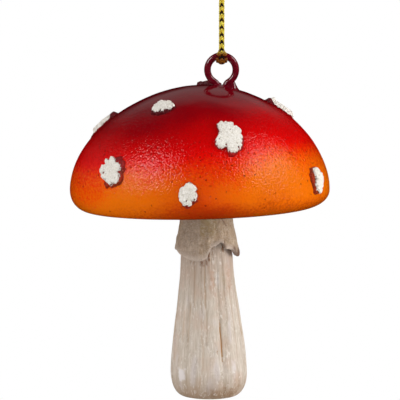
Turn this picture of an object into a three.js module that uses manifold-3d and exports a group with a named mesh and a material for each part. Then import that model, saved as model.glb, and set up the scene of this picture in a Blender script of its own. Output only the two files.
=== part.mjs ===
// A hand-painted toadstool ornament for a christmas tree, hung by a gold cord.
//
// The cap and the stem are two castings glued at a tenon. A plate of gills closes the cap's underside,
// a torn skirt hangs round the stem's neck, and raised warts sit on the dome. A bent wire eye is glued
// into the crown, off centre, and a loop of cord passes through it and is knotted at the top.
//
// Millimetres, +Z up, +X to the right of the view, +Y away from the viewer. The origin is inside the
// top of the cord's loop, where a twig or a hook carries it, so the ornament hangs below it.

import * as THREE from 'three';
import { mergeVertices } from 'three/addons/utils/BufferGeometryUtils.js';
import Module from 'manifold-3d';

// Cap
const CAP_DIAMETER = 58;
const DOME_HEIGHT = 23.3; // crown above the cap's widest ring
const DOME_FULLNESS = 1.86; // 2 is a true ellipse, less draws the shoulder in
const CROWN_SHIFT = 0.9; // the crown stands this far to the right of the rim's centre
const LIP_DROP = 4.1; // lowest ring of the lip below the widest ring
const LIP_ROUND = 4.5; // how far the lip rolls in below the widest ring
const LIP_LEAN = 0.22; // the lip hangs this share deeper on the left, and less on the right
const LIP_WIDTH = 1.1; // flat ring between the rolled lip and the gills
const RECESS_DEPTH = 2.6; // the gills' recess, up from the lip
const CAP_SEGMENTS = 56;

// Gills
const GILL_COUNT = 36;
const GILL_DEPTH = 1.0;
const GILL_BASE = 1.1; // plate behind the gills
const GILL_HUB = 0.35; // plain ring between the skirt and where the gills begin

// Stem
const STEM_SHIFT = 1.5; // stem's axis to the right of the rim's centre
const STEM_LEAN = 0.55; // foot to the right of the neck
const FOOT_DROP = 46.5; // foot below the cap's widest ring
const FOOT_DIAMETER = 11.2; // flat of the foot
const BULB_DIAMETER = 17.0;
const BULB_RISE = 5.6; // fattest ring above the foot
const WAIST_DIAMETER = 11.5;
const WAIST_DROP = 16.0; // narrowest ring below the cap's widest ring
const NECK_DIAMETER = 9.4; // under the skirt
const NECK_DROP = 8.5; // where the neck begins to swell, below the cap's widest ring
const TENON_DIAMETER = 6.8;
const TENON_LENGTH = 6.0;
const FLUTE_DEPTH = 0.16; // shallow grooves that run down the stem
const STEM_SEGMENTS = 52;

// Skirt, with its torn hem as angles from the front, to the right, and shares of its length
const SKIRT_LENGTH = 12.2; // at its longest lobe
const SKIRT_THICKNESS = 0.9;
const HEM_GAP = 0.6; // the hem hangs this far off the stem's waist
const HEM_THINNING = 0.35; // share of its thickness that the skirt loses towards the hem
const SKIRT_HEM = [
  [-180, 0.85], [-150, 0.93], [-118, 0.79], [-90, 0.84], [-66, 0.86], [-50, 0.97], [-32, 1], [-12, 1],
  [-3, 0.93], [4, 0.83], [11, 0.73], [28, 0.68], [44, 0.74], [56, 0.83], [74, 0.94], [94, 0.93],
  [114, 0.82], [146, 0.94],
];
const SKIRT_SEGMENTS = 72;

// Wire eye
const WIRE_DIAMETER = 1.5;
const EYE_DIAMETER = 7.8; // outside
const EYE_SHIFT = 4.85; // to the right of the rim's centre
const EYE_BEND = 1.6; // bend between the ring and the legs, to the wire's middle
const EYE_STANDOFF = 3.7; // ring's middle above the dome
const LEG_SPLIT = 0.2; // between the two legs
const LEG_DEPTH = 7.0; // legs below the dome
const WIRE_SIDES = 10;

// Glue and paint run up round the legs, further on the right
const FILLET_SHIFT = 0.7;
const FILLET_LENGTH = 6.6;
const FILLET_WIDTH = 5.0;
const FILLET_HEIGHT = 0.75;

// Warts: azimuth from +X, height angle up the dome, width across, length up the dome, lobes, turn
const WART_HEIGHT = 1.1; // top above the dome
const WARTS = [
  { azimuth: 178, rise: 39.5, across: 5.4, along: 5.8, lobes: 4, turn: 20 },
  { azimuth: -123.5, rise: 55.5, across: 5.2, along: 4.4, lobes: 3, turn: 70 },
  { azimuth: -131.5, rise: 15, across: 7.1, along: 7.1, lobes: 5, turn: 10 },
  { azimuth: -94.5, rise: 4.5, across: 4.2, along: 5.4, lobes: 4, turn: 35 },
  { azimuth: -75, rise: 36, across: 6.3, along: 8.8, lobes: 4, turn: 170 },
  { azimuth: 3, rise: 51.5, across: 5.4, along: 6.6, lobes: 4, turn: 80 },
  { azimuth: -28.5, rise: 8.5, across: 5.2, along: 6.2, lobes: 3, turn: 15 },
  { azimuth: 79, rise: 75, across: 4.8, along: 4.6, lobes: 4, turn: 0 },
  { azimuth: 40, rise: 31, across: 6.2, along: 7.0, lobes: 5, turn: 60 },
  { azimuth: 74, rise: 11, across: 5.8, along: 6.4, lobes: 4, turn: 25 },
  { azimuth: 92, rise: 44, across: 5.4, along: 6.2, lobes: 3, turn: 90 },
  { azimuth: 122, rise: 22, across: 6.4, along: 7.2, lobes: 5, turn: 40 },
  { azimuth: 153, rise: 6.5, across: 4.6, along: 5.8, lobes: 4, turn: 5 },
  { azimuth: 19, rise: 7, across: 5.0, along: 6.0, lobes: 4, turn: 55 },
];
const WART_SPOKES = 24;

// Cord
const CORD_DIAMETER = 1.1;
const CORD_SIDES = 8;
const LOOP_DROP = 52; // from the top of the loop to the wire's middle at the eye
const HOOK_DIAMETER = 4.0; // what the loop's top goes round
const LEG_STEPS = 36;
const KNOT_DIAMETER = 3.8;
const KNOT_HEIGHT = 3.7;
const KNOT_SEAT = 1.4; // diameter of the knot's underside
const TAIL_LENGTH = 5.2;
const TAIL_SPREAD = 24; // degrees each tail leans from upright

// Clearances
const GLUE_GAP = 0.3; // between glued pieces
const WIRE_GAP = 0.2; // between the wire and the glue round it
const CORD_GAP = 0.1; // between the cord and the wire that turns in it
const SWAY_GAP = 0.16; // between the legs' ends and the bight as the legs swing over

const wasm = await Module();
wasm.setup();

const material = (colour, roughness, metalness = 0) =>
  new THREE.MeshStandardMaterial({ color: colour, roughness, metalness });
const PAINT = material('#c93a26', 0.18);
const CREAM = material('#c9b8a4', 0.75);
const GILL_CREAM = material('#cdbda6', 0.8);
const CRUST = material('#dedad2', 0.95);
const EYE_PAINT = material('#5a1418', 0.3);
const GOLD_CORD = material('#c79a36', 0.4, 0.6);

// One closed surface: shared corners merged, every face turned outwards.
function closed(geometry) {
  const bare = geometry.index ? geometry.clone() : geometry;
  for (const name of Object.keys(bare.attributes)) {
    if (name !== 'position') bare.deleteAttribute(name);
  }
  const merged = mergeVertices(bare, 1e-4);
  const points = merged.attributes.position;
  const corners = [];
  const index = merged.index.array;
  let volume = 0;
  const a = new THREE.Vector3();
  const b = new THREE.Vector3();
  const c = new THREE.Vector3();
  for (let i = 0; i < index.length; i += 3) {
    const [p, q, r] = [index[i], index[i + 1], index[i + 2]];
    if (p === q || q === r || r === p) continue;
    corners.push(p, q, r);
    a.fromBufferAttribute(points, p);
    b.fromBufferAttribute(points, q);
    c.fromBufferAttribute(points, r);
    volume += a.dot(b.cross(c));
  }
  if (volume < 0) corners.reverse();
  merged.setIndex(corners);
  return merged;
}

function toSolid(geometry) {
  const whole = closed(geometry);
  return new wasm.Manifold(new wasm.Mesh({
    numProp: 3,
    vertProperties: new Float32Array(whole.attributes.position.array),
    triVerts: new Uint32Array(whole.index.array),
  }));
}

function toGeometry(solid) {
  const mesh = solid.getMesh();
  const geometry = new THREE.BufferGeometry();
  geometry.setAttribute('position', new THREE.BufferAttribute(mesh.vertProperties.slice(), 3));
  geometry.setIndex(Array.from(mesh.triVerts));
  return geometry;
}

function named(name, geometry, look) {
  const whole = closed(geometry);
  whole.computeVertexNormals();
  const mesh = new THREE.Mesh(whole, look);
  mesh.name = name;
  return mesh;
}

// A turned body with its axis along Z, from [radius, height] pairs.
function turned(profile, segments) {
  const points = profile.map(([radius, height]) => new THREE.Vector2(radius, height));
  return new THREE.LatheGeometry(points, segments).rotateX(Math.PI / 2);
}

function reshape(geometry, move) {
  const whole = closed(geometry);
  const points = whole.attributes.position;
  const p = new THREE.Vector3();
  for (let i = 0; i < points.count; i += 1) {
    p.fromBufferAttribute(points, i);
    move(p);
    points.setXYZ(i, p.x, p.y, p.z);
  }
  return whole;
}

function drill(radius, bottom, top, x, y, sides = 32) {
  const bit = new THREE.CylinderGeometry(radius, radius, top - bottom, sides);
  return toSolid(bit.rotateX(Math.PI / 2).translate(x, y, (top + bottom) / 2));
}

// A round section carried along a path.
function rod(path, radius, sides, steps) {
  const section = new THREE.Shape();
  for (let i = 0; i < sides; i += 1) {
    const turn = (2 * Math.PI * i) / sides;
    const [x, y] = [radius * Math.cos(turn), radius * Math.sin(turn)];
    if (i === 0) section.moveTo(x, y);
    else section.lineTo(x, y);
  }
  section.closePath();
  return new THREE.ExtrudeGeometry(section, { steps, extrudePath: path, bevelEnabled: false });
}

const smooth = (t) => {
  const s = THREE.MathUtils.clamp(t, 0, 1);
  return s * s * (3 - 2 * s);
};

// The cap's outer surface, before its lip and crown are set askew: a full dome above the widest ring
// and a rolled lip below it.
const CAP_RADIUS = CAP_DIAMETER / 2;
const LIP_RADIUS = CAP_RADIUS - LIP_ROUND;

function outside(p) {
  const r = Math.hypot(p.x, p.y);
  if (p.z >= 0) {
    return (r / CAP_RADIUS) ** DOME_FULLNESS + (p.z / DOME_HEIGHT) ** DOME_FULLNESS - 1;
  }
  const roll = Math.max(r - LIP_RADIUS, 0) / LIP_ROUND;
  return roll ** 2 + (p.z / LIP_DROP) ** 2 - 1;
}

// The lip leans and the crown stands to one side, as on a piece shaped by hand.
function askew(p) {
  if (p.z < 0) {
    const out = Math.hypot(p.x, p.y) / CAP_RADIUS;
    p.z *= 1 - LIP_LEAN * (p.x / CAP_RADIUS) * out ** 2;
  } else {
    p.x += CROWN_SHIFT * (p.z / DOME_HEIGHT) ** 2;
  }
  return p;
}

// Where a ray from the middle of the widest ring leaves the cap, and the surface's direction there.
function onCap(aim) {
  const ray = aim.clone().normalize();
  let near = 0;
  let far = 3 * CAP_RADIUS;
  for (let i = 0; i < 40; i += 1) {
    const middle = (near + far) / 2;
    if (outside(ray.clone().multiplyScalar(middle)) > 0) far = middle;
    else near = middle;
  }
  const point = ray.multiplyScalar(near);
  const slope = (x, y, z) => outside(new THREE.Vector3(point.x + x, point.y + y, point.z + z));
  const h = 0.01;
  const normal = new THREE.Vector3(
    slope(h, 0, 0) - slope(-h, 0, 0),
    slope(0, h, 0) - slope(0, -h, 0),
    slope(0, 0, h) - slope(0, 0, -h),
  ).normalize();
  return { point, normal };
}

// Height of the finished dome over a place on the widest ring's plane.
function domeTop(x, y) {
  let z = DOME_HEIGHT;
  for (let i = 0; i < 12; i += 1) {
    const r = Math.hypot(x - CROWN_SHIFT * (z / DOME_HEIGHT) ** 2, y);
    z = DOME_HEIGHT * (1 - (r / CAP_RADIUS) ** DOME_FULLNESS) ** (1 / DOME_FULLNESS);
  }
  return z;
}

// A patch laid on the dome: edge(angle) gives its half-width in each direction and rise(share) the
// height of its top from the middle (share 0) to the edge (share 1).
function patch(centre, edge, rise, spokes, rings) {
  const { point, normal } = onCap(centre);
  const side = new THREE.Vector3(0, 0, 1).cross(normal).normalize();
  const up = normal.clone().cross(side).normalize();
  const place = (angle, share, height) => {
    const [u, v] = edge(angle);
    const aim = point.clone().addScaledVector(side, u * share).addScaledVector(up, v * share);
    const seat = onCap(aim);
    return askew(seat.point.addScaledVector(seat.normal, height));
  };
  const points = [place(0, 0, rise(0))];
  const index = [];
  const ring = (k, i) => 1 + k * spokes + (i % spokes);
  for (let k = 0; k < rings.length; k += 1) {
    for (let i = 0; i < spokes; i += 1) {
      points.push(place((2 * Math.PI * i) / spokes, rings[k], rise(rings[k])));
    }
  }
  const last = rings.length;
  for (let i = 0; i < spokes; i += 1) {
    points.push(place((2 * Math.PI * i) / spokes, 1, GLUE_GAP));
  }
  points.push(place(0, 0, GLUE_GAP));
  const under = points.length - 1;
  for (let i = 0; i < spokes; i += 1) {
    index.push(0, ring(0, i), ring(0, i + 1));
    for (let k = 0; k < last; k += 1) {
      index.push(ring(k, i), ring(k + 1, i), ring(k + 1, i + 1));
      index.push(ring(k, i), ring(k + 1, i + 1), ring(k, i + 1));
    }
    index.push(under, ring(last, i + 1), ring(last, i));
  }
  const geometry = new THREE.BufferGeometry().setFromPoints(points);
  geometry.setIndex(index);
  return geometry;
}

// Eye: a ring whose ends bend back into two legs side by side.
const WIRE_RADIUS = WIRE_DIAMETER / 2;
const EYE_RADIUS = (EYE_DIAMETER - WIRE_DIAMETER) / 2;
const LEG_X = WIRE_RADIUS + LEG_SPLIT / 2;
const DOME_AT_EYE = domeTop(EYE_SHIFT, 0);
const EYE_HEIGHT = DOME_AT_EYE + EYE_STANDOFF; // ring's middle above the widest ring

// One side of the wire, from the end of its leg to the top of the ring.
function halfEye(side) {
  const bendX = LEG_X + EYE_BEND;
  const bendDrop = Math.sqrt((EYE_RADIUS + EYE_BEND) ** 2 - bendX ** 2);
  const touch = Math.atan2(bendDrop, bendX); // where the ring meets the bend, below level
  const legEnd = -EYE_STANDOFF - LEG_DEPTH;
  const half = [];
  for (let i = 0; i <= 4; i += 1) {
    half.push([LEG_X, legEnd + ((-bendDrop - legEnd) * i) / 4]);
  }
  for (let i = 1; i <= 6; i += 1) {
    const turn = (touch * i) / 6;
    half.push([bendX - EYE_BEND * Math.cos(turn), -bendDrop + EYE_BEND * Math.sin(turn)]);
  }
  for (let i = 1; i <= 14; i += 1) {
    const turn = -touch + ((touch + Math.PI / 2) * i) / 14;
    half.push([EYE_RADIUS * Math.cos(turn), EYE_RADIUS * Math.sin(turn)]);
  }
  return half.map(([x, z]) => new THREE.Vector3(side * x, 0, z));
}

// A wire bent in the ring's plane, corner by corner, each section square to the bend's bisector.
function wire(corners, radius) {
  const points = [];
  const index = [];
  const n = corners.length;
  const across = new THREE.Vector3(0, 1, 0);
  for (let k = 0; k < n; k += 1) {
    const before = corners[Math.max(k - 1, 0)];
    const after = corners[Math.min(k + 1, n - 1)];
    const along = after.clone().sub(before).normalize();
    const out = along.clone().cross(across).normalize();
    for (let i = 0; i < WIRE_SIDES; i += 1) {
      const turn = (2 * Math.PI * i) / WIRE_SIDES;
      points.push(corners[k].clone()
        .addScaledVector(out, radius * Math.cos(turn))
        .addScaledVector(across, radius * Math.sin(turn)));
    }
  }
  const at = (k, i) => k * WIRE_SIDES + (i % WIRE_SIDES);
  for (let k = 0; k + 1 < n; k += 1) {
    for (let i = 0; i < WIRE_SIDES; i += 1) {
      index.push(at(k, i), at(k + 1, i), at(k + 1, i + 1), at(k, i), at(k + 1, i + 1), at(k, i + 1));
    }
  }
  for (let i = 1; i + 1 < WIRE_SIDES; i += 1) {
    index.push(at(0, 0), at(0, i), at(0, i + 1));
    index.push(at(n - 1, 0), at(n - 1, i + 1), at(n - 1, i));
  }
  const geometry = new THREE.BufferGeometry().setFromPoints(points);
  geometry.setIndex(index);
  return geometry.translate(EYE_SHIFT, 0, EYE_HEIGHT);
}

function eyeBody() {
  const left = halfEye(-1).reverse().slice(1);
  return wire([...halfEye(1), ...left], WIRE_RADIUS);
}

// Cap: the dome, the rolled lip and the recess for the gills, in one turned profile.
const RECESS_TOP = -LIP_DROP + RECESS_DEPTH;
const RECESS_RADIUS = LIP_RADIUS - LIP_WIDTH;

function capBody() {
  const profile = [];
  for (let i = 0; i <= 15; i += 1) {
    const turn = (Math.PI / 2) * (1 - i / 15);
    const power = 2 / DOME_FULLNESS;
    const radius = i === 0 ? 0 : CAP_RADIUS * Math.cos(turn) ** power;
    profile.push([radius, i === 15 ? 0 : DOME_HEIGHT * Math.sin(turn) ** power]);
  }
  for (let i = 1; i <= 5; i += 1) {
    const turn = ((Math.PI / 2) * i) / 5;
    profile.push([LIP_RADIUS + LIP_ROUND * Math.cos(turn), -LIP_DROP * Math.sin(turn)]);
  }
  profile.push([RECESS_RADIUS, -LIP_DROP], [RECESS_RADIUS, RECESS_TOP], [12, RECESS_TOP], [0, RECESS_TOP]);
  const dome = toSolid(reshape(turned(profile, CAP_SEGMENTS), askew));
  const socketRadius = TENON_DIAMETER / 2 + GLUE_GAP;
  const socketTop = RECESS_TOP - GLUE_GAP + TENON_LENGTH + GLUE_GAP;
  const socket = drill(socketRadius, -LIP_DROP, socketTop, STEM_SHIFT, 0);
  const legHole = drill(
    LEG_X + WIRE_RADIUS + GLUE_GAP,
    DOME_AT_EYE - LEG_DEPTH - GLUE_GAP,
    DOME_HEIGHT + EYE_STANDOFF,
    EYE_SHIFT,
    0,
  );
  return toGeometry(dome.subtract(socket).subtract(legHole));
}

// Gills: a disc that fills the recess, ridged below, with a hole for the stem.
const GILL_TOP = RECESS_TOP - GLUE_GAP;
const GILL_VALLEY = GILL_TOP - GILL_BASE;
const NECK_RADIUS = NECK_DIAMETER / 2;
const SKIRT_BORE = NECK_RADIUS + GLUE_GAP;

function gillPlate() {
  const edge = RECESS_RADIUS - GLUE_GAP;
  const inner = STEM_SHIFT + SKIRT_BORE + SKIRT_THICKNESS + GILL_HUB;
  const ridge = [inner + 1, inner + (edge - inner) * 0.45, inner + (edge - inner) * 0.75, edge - 0.8];
  const profile = [[0, GILL_TOP], [edge, GILL_TOP], [edge, GILL_VALLEY]];
  for (const radius of [...ridge].reverse()) profile.push([radius, GILL_VALLEY]);
  profile.push([inner, GILL_VALLEY], [0, GILL_VALLEY]);
  const ridged = reshape(turned(profile, GILL_COUNT * 4), (p) => {
    const r = Math.hypot(p.x, p.y);
    if (p.z < GILL_VALLEY + 0.01 && r > inner + 0.5 && r < edge - 0.4) {
      const wave = 0.5 + 0.5 * Math.cos(GILL_COUNT * Math.atan2(p.y, p.x));
      p.z -= GILL_DEPTH * wave;
    }
    askew(p);
  });
  const hole = drill(NECK_RADIUS + GLUE_GAP, -2 * LIP_DROP, LIP_DROP, STEM_SHIFT, 0);
  return toGeometry(toSolid(ridged).subtract(hole));
}

// Stem: tenon, neck, waist and bulb on one axis, lightly fluted, leaning a little to the right.
const WAIST_RADIUS = WAIST_DIAMETER / 2;
const BULB_RADIUS = BULB_DIAMETER / 2;

function stemRadius(z) {
  const bulbZ = -FOOT_DROP + BULB_RISE;
  if (z > -NECK_DROP) return NECK_RADIUS;
  if (z > -WAIST_DROP) {
    const t = smooth((-NECK_DROP - z) / (WAIST_DROP - NECK_DROP));
    return NECK_RADIUS + (WAIST_RADIUS - NECK_RADIUS) * t;
  }
  if (z > bulbZ) {
    const t = (-WAIST_DROP - z) / (-WAIST_DROP - bulbZ);
    return WAIST_RADIUS + (BULB_RADIUS - WAIST_RADIUS) * (0.45 * t + 0.55 * smooth(t));
  }
  const t = (bulbZ - z) / BULB_RISE;
  const flat = FOOT_DIAMETER / 2;
  return flat + (BULB_RADIUS - flat) * Math.sqrt(Math.max(1 - t ** 2.4, 0));
}

function stemLean(z) {
  return STEM_LEAN * smooth((-NECK_DROP - z) / (FOOT_DROP - NECK_DROP));
}

function stemBody() {
  const profile = [[0, -FOOT_DROP], [FOOT_DIAMETER / 2, -FOOT_DROP]];
  const bulbZ = -FOOT_DROP + BULB_RISE;
  for (let i = 1; i <= 6; i += 1) {
    const z = -FOOT_DROP + BULB_RISE * (1 - Math.cos((Math.PI / 2) * (i / 6)));
    profile.push([stemRadius(z), z]);
  }
  for (let i = 1; i <= 8; i += 1) {
    const z = bulbZ + ((-WAIST_DROP - bulbZ) * i) / 8;
    profile.push([stemRadius(z), z]);
  }
  for (let i = 1; i <= 4; i += 1) {
    const z = -WAIST_DROP + ((WAIST_DROP - NECK_DROP) * i) / 4;
    profile.push([stemRadius(z), z]);
  }
  const shoulder = RECESS_TOP - GLUE_GAP;
  const tenonTop = shoulder + TENON_LENGTH;
  profile.push([NECK_RADIUS, shoulder], [TENON_DIAMETER / 2, shoulder]);
  profile.push([TENON_DIAMETER / 2, tenonTop], [0, tenonTop]);
  return reshape(turned(profile, STEM_SEGMENTS), (p) => {
    const angle = Math.atan2(p.y, p.x);
    const swell = smooth((-NECK_DROP - p.z) / 3) * smooth((p.z + FOOT_DROP) / 2);
    const flute = Math.cos(8 * angle + 0.6) + 0.7 * Math.cos(13 * angle - 0.9);
    const scale = 1 + (FLUTE_DEPTH * swell * flute) / WAIST_RADIUS;
    p.x *= scale;
    p.y *= scale;
    p.x += STEM_SHIFT + stemLean(p.z);
  });
}

// Skirt: a thin collar on the neck that flares to a torn hem.
const SKIRT_TOP = GILL_VALLEY - GLUE_GAP;

function hemShare(angle) {
  const n = SKIRT_HEM.length;
  for (let i = 0; i < n; i += 1) {
    const [a0, s0] = SKIRT_HEM[i];
    const [a1, s1] = i + 1 < n ? SKIRT_HEM[i + 1] : [180, SKIRT_HEM[0][1]];
    if (angle >= a0 && angle <= a1) return s0 + (s1 - s0) * smooth((angle - a0) / (a1 - a0));
  }
  return SKIRT_HEM[0][1];
}

function skirtBody() {
  const hemBore = WAIST_RADIUS + HEM_GAP;
  const inner = (t) => SKIRT_BORE + (hemBore - SKIRT_BORE) * smooth((t - 0.2) / 0.8);
  const outer = (t) => inner(t) + SKIRT_THICKNESS * (1 - HEM_THINNING * t);
  const profile = [];
  for (const t of [0, 0.3, 0.6, 0.85, 1]) profile.push([outer(t), -t]);
  for (const t of [1, 0.85, 0.6, 0.3, 0]) profile.push([inner(t), -t]);
  profile.push([outer(0), 0]);
  return reshape(turned(profile, SKIRT_SEGMENTS), (p) => {
    const angle = THREE.MathUtils.radToDeg(Math.atan2(p.x, -p.y));
    p.z = SKIRT_TOP + p.z * SKIRT_LENGTH * hemShare(angle);
    p.x += STEM_SHIFT + stemLean(p.z);
  });
}

// A wart's outline swells into lobes and no two are alike.
function wartBody(wart, number) {
  const azimuth = THREE.MathUtils.degToRad(wart.azimuth);
  const rise = THREE.MathUtils.degToRad(wart.rise);
  const power = 2 / DOME_FULLNESS;
  const centre = new THREE.Vector3(
    CAP_RADIUS * Math.cos(rise) ** power * Math.cos(azimuth),
    CAP_RADIUS * Math.cos(rise) ** power * Math.sin(azimuth),
    DOME_HEIGHT * Math.sin(rise) ** power,
  );
  const turn = THREE.MathUtils.degToRad(wart.turn);
  const edge = (angle) => {
    const lobe = 1 + 0.1 * Math.cos(wart.lobes * angle + turn)
      + 0.05 * Math.cos(2 * angle + 1.7 * number) + 0.04 * Math.cos(7 * angle + 2.3 * number);
    return [
      (wart.across / 2) * lobe * Math.cos(angle),
      (wart.along / 2) * lobe * Math.sin(angle),
    ];
  };
  const height = (share) => {
    const fall = share < 0.8 ? 0.08 * (share / 0.8) : 0.08 + 0.3 * ((share - 0.8) / 0.2);
    return GLUE_GAP + (WART_HEIGHT - GLUE_GAP) * (1 - fall);
  };
  return patch(centre, edge, height, WART_SPOKES, [0.45, 0.8, 1]);
}

// Fillet round the eye's legs, cut clear of the wire.
function filletBody() {
  const x = EYE_SHIFT - CROWN_SHIFT + FILLET_SHIFT;
  const centre = new THREE.Vector3(x, 0, domeTop(EYE_SHIFT + FILLET_SHIFT, 0));
  const edge = (angle) => [
    (FILLET_WIDTH / 2) * Math.cos(angle),
    (FILLET_LENGTH / 2) * Math.sin(angle),
  ];
  const height = (share) => GLUE_GAP + 0.15 + (FILLET_HEIGHT - 0.15) * (1 - smooth(share * 1.05));
  let mound = toSolid(patch(centre, edge, height, 24, [0.35, 0.6, 0.8, 1]));
  for (const side of [-1, 1]) {
    mound = mound.subtract(toSolid(wire(halfEye(side), WIRE_RADIUS + WIRE_GAP)));
  }
  return toGeometry(mound);
}

// Cord: two legs and a bight in the plane of the loop, which faces the viewer edge on.
const CORD_RADIUS = CORD_DIAMETER / 2;
const BIGHT_RADIUS = WIRE_RADIUS + CORD_GAP + CORD_RADIUS; // to the cord's middle
const CROWN_RADIUS = (HOOK_DIAMETER + CORD_DIAMETER) / 2;
const CROWN_Z = -HOOK_DIAMETER / 2;

function cordLeg(side) {
  const path = new THREE.CurvePath();
  const foot = new THREE.Vector3(0, side * BIGHT_RADIUS, -LOOP_DROP);
  const knotEnd = Math.asin(Math.min((KNOT_SEAT / 2 + GLUE_GAP + CORD_RADIUS) / CROWN_RADIUS, 0.95));
  const arc = [];
  for (let i = 0; i <= 5; i += 1) {
    const turn = Math.PI / 2 + (knotEnd - Math.PI / 2) * (i / 5);
    arc.push(new THREE.Vector3(
      0,
      side * CROWN_RADIUS * Math.sin(turn),
      CROWN_Z + CROWN_RADIUS * Math.cos(turn),
    ));
  }
  path.add(new THREE.LineCurve3(foot, arc[0]));
  for (let i = 1; i < arc.length; i += 1) path.add(new THREE.LineCurve3(arc[i - 1], arc[i]));
  return rod(path, CORD_RADIUS, CORD_SIDES, LEG_STEPS);
}

function cordBight() {
  const drop = CORD_RADIUS + SWAY_GAP;
  const start = Math.asin(Math.min(drop / BIGHT_RADIUS, 0.9));
  const points = [];
  for (let i = 0; i <= 12; i += 1) {
    const turn = start + ((Math.PI - 2 * start) * i) / 12;
    points.push(new THREE.Vector3(0, -BIGHT_RADIUS * Math.cos(turn), -BIGHT_RADIUS * Math.sin(turn)));
  }
  return rod(new THREE.CatmullRomCurve3(points), CORD_RADIUS, CORD_SIDES, 8).translate(0, 0, -LOOP_DROP);
}

// Knot: a rounded lump with the cord's two cut ends standing out of it.
function cordKnot() {
  const seat = KNOT_SEAT / 2;
  const fat = KNOT_DIAMETER / 2;
  const profile = [[0, 0.1]];
  for (let i = 0; i <= 10; i += 1) {
    const t = i / 10;
    const bulge = Math.sin(Math.PI * t);
    profile.push([seat + (fat - seat) * bulge, 0.1 + KNOT_HEIGHT * t]);
  }
  profile.push([0, 0.1 + KNOT_HEIGHT]);
  let knot = toSolid(turned(profile, 20));
  for (const side of [-1, 1]) {
    const lean = THREE.MathUtils.degToRad(TAIL_SPREAD) * side;
    const start = new THREE.Vector3(0, side * seat * 0.5, KNOT_HEIGHT * 0.75);
    const reach = KNOT_HEIGHT * 0.25 + TAIL_LENGTH;
    const end = start.clone().add(new THREE.Vector3(0, reach * Math.sin(lean), reach * Math.cos(lean)));
    const tail = rod(new THREE.LineCurve3(start, end), CORD_RADIUS, CORD_SIDES, 3);
    knot = knot.add(toSolid(tail));
  }
  return toGeometry(knot);
}

const ornament = new THREE.Group();

const mushroom = new THREE.Group();
mushroom.position.set(-EYE_SHIFT, 0, -LOOP_DROP - EYE_RADIUS - EYE_HEIGHT);
mushroom.add(named('cap', capBody(), PAINT));
mushroom.add(named('gill_plate', gillPlate(), GILL_CREAM));
mushroom.add(named('stem', stemBody(), CREAM));
mushroom.add(named('skirt', skirtBody(), CREAM));
mushroom.add(named('hanging_eye', eyeBody(), EYE_PAINT));
mushroom.add(named('eye_fillet', filletBody(), PAINT));
WARTS.forEach((wart, i) => {
  mushroom.add(named(`wart_${String(i + 1).padStart(2, '0')}`, wartBody(wart, i), CRUST));
});
ornament.add(mushroom);

const cord = new THREE.Group();
cord.add(named('cord_front_leg', cordLeg(-1), GOLD_CORD));
cord.add(named('cord_back_leg', cordLeg(1), GOLD_CORD));
cord.add(named('cord_bight', cordBight(), GOLD_CORD));
cord.add(named('cord_knot', cordKnot(), GOLD_CORD));
ornament.add(cord);

export default ornament;
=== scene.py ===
# %% [markdown]
# # A painted toadstool for the christmas tree
#
# The ornament is a small cast toadstool. A glossy cap, shaded from maroon at the crown to amber at
# the lip, carries rough white warts. Under it are gills, a torn skirt and a fluted stem with a dry,
# brushed finish. A bent wire eye in the crown hangs in a loop of gold cord.
#
# The solids of every piece are already made and packed. They are loaded first and never moved, so
# each new piece is built in place, in metres, around them.

# %% Load the frame
import math

import bpy
import numpy as np
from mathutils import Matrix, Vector, noise


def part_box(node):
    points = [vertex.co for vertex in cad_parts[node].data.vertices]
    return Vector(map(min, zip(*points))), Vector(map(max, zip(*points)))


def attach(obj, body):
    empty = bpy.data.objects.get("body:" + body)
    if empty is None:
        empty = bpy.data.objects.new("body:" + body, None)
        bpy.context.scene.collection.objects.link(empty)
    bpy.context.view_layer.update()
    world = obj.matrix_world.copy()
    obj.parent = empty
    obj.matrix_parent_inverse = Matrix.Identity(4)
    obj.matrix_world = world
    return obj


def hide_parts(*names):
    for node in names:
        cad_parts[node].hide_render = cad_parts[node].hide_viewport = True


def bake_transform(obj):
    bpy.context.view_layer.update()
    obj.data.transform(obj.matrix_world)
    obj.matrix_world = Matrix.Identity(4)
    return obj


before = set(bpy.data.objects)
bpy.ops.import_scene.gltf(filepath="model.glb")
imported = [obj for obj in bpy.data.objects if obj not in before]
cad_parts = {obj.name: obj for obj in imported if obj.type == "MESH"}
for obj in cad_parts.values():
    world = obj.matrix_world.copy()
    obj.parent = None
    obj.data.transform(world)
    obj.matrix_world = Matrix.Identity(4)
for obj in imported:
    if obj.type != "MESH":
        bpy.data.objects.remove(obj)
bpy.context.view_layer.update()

MM = 0.001

# %% [markdown]
# ## The camera
#
# The picture was taken from about half a metre, a little above the cap, with a long lens. The lens
# and the place looked at come from measuring the cap's width and its lip in the picture, so that
# whatever is built to size falls on the same spot as in the picture.

# %% Camera
PICTURE_PIXELS = 400
FOCAL_PIXELS = 2237
SENSOR_MM = 36.0
CAMERA_BACK = 500 * MM
LOOK_DOWN = math.radians(5.8)
LOOK_AT = Vector((-4.81, 0.0, -84.25)) * MM
NEAREST, FARTHEST = 0.01, 20.0

bpy.ops.object.select_all(action="DESELECT")
away = Vector((0.0, -math.cos(LOOK_DOWN), math.sin(LOOK_DOWN)))
bpy.ops.object.camera_add(
    location=LOOK_AT + CAMERA_BACK * away, rotation=(math.pi / 2 - LOOK_DOWN, 0.0, 0.0)
)
camera = bpy.context.object
camera.name = "picture_camera"
camera.data.sensor_width = SENSOR_MM
camera.data.lens = FOCAL_PIXELS / PICTURE_PIXELS * SENSOR_MM
camera.data.clip_start, camera.data.clip_end = NEAREST, FARTHEST
bpy.context.scene.camera = camera
print("lens", round(camera.data.lens, 1), "mm, looking down by", round(math.degrees(LOOK_DOWN), 1))

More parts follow.
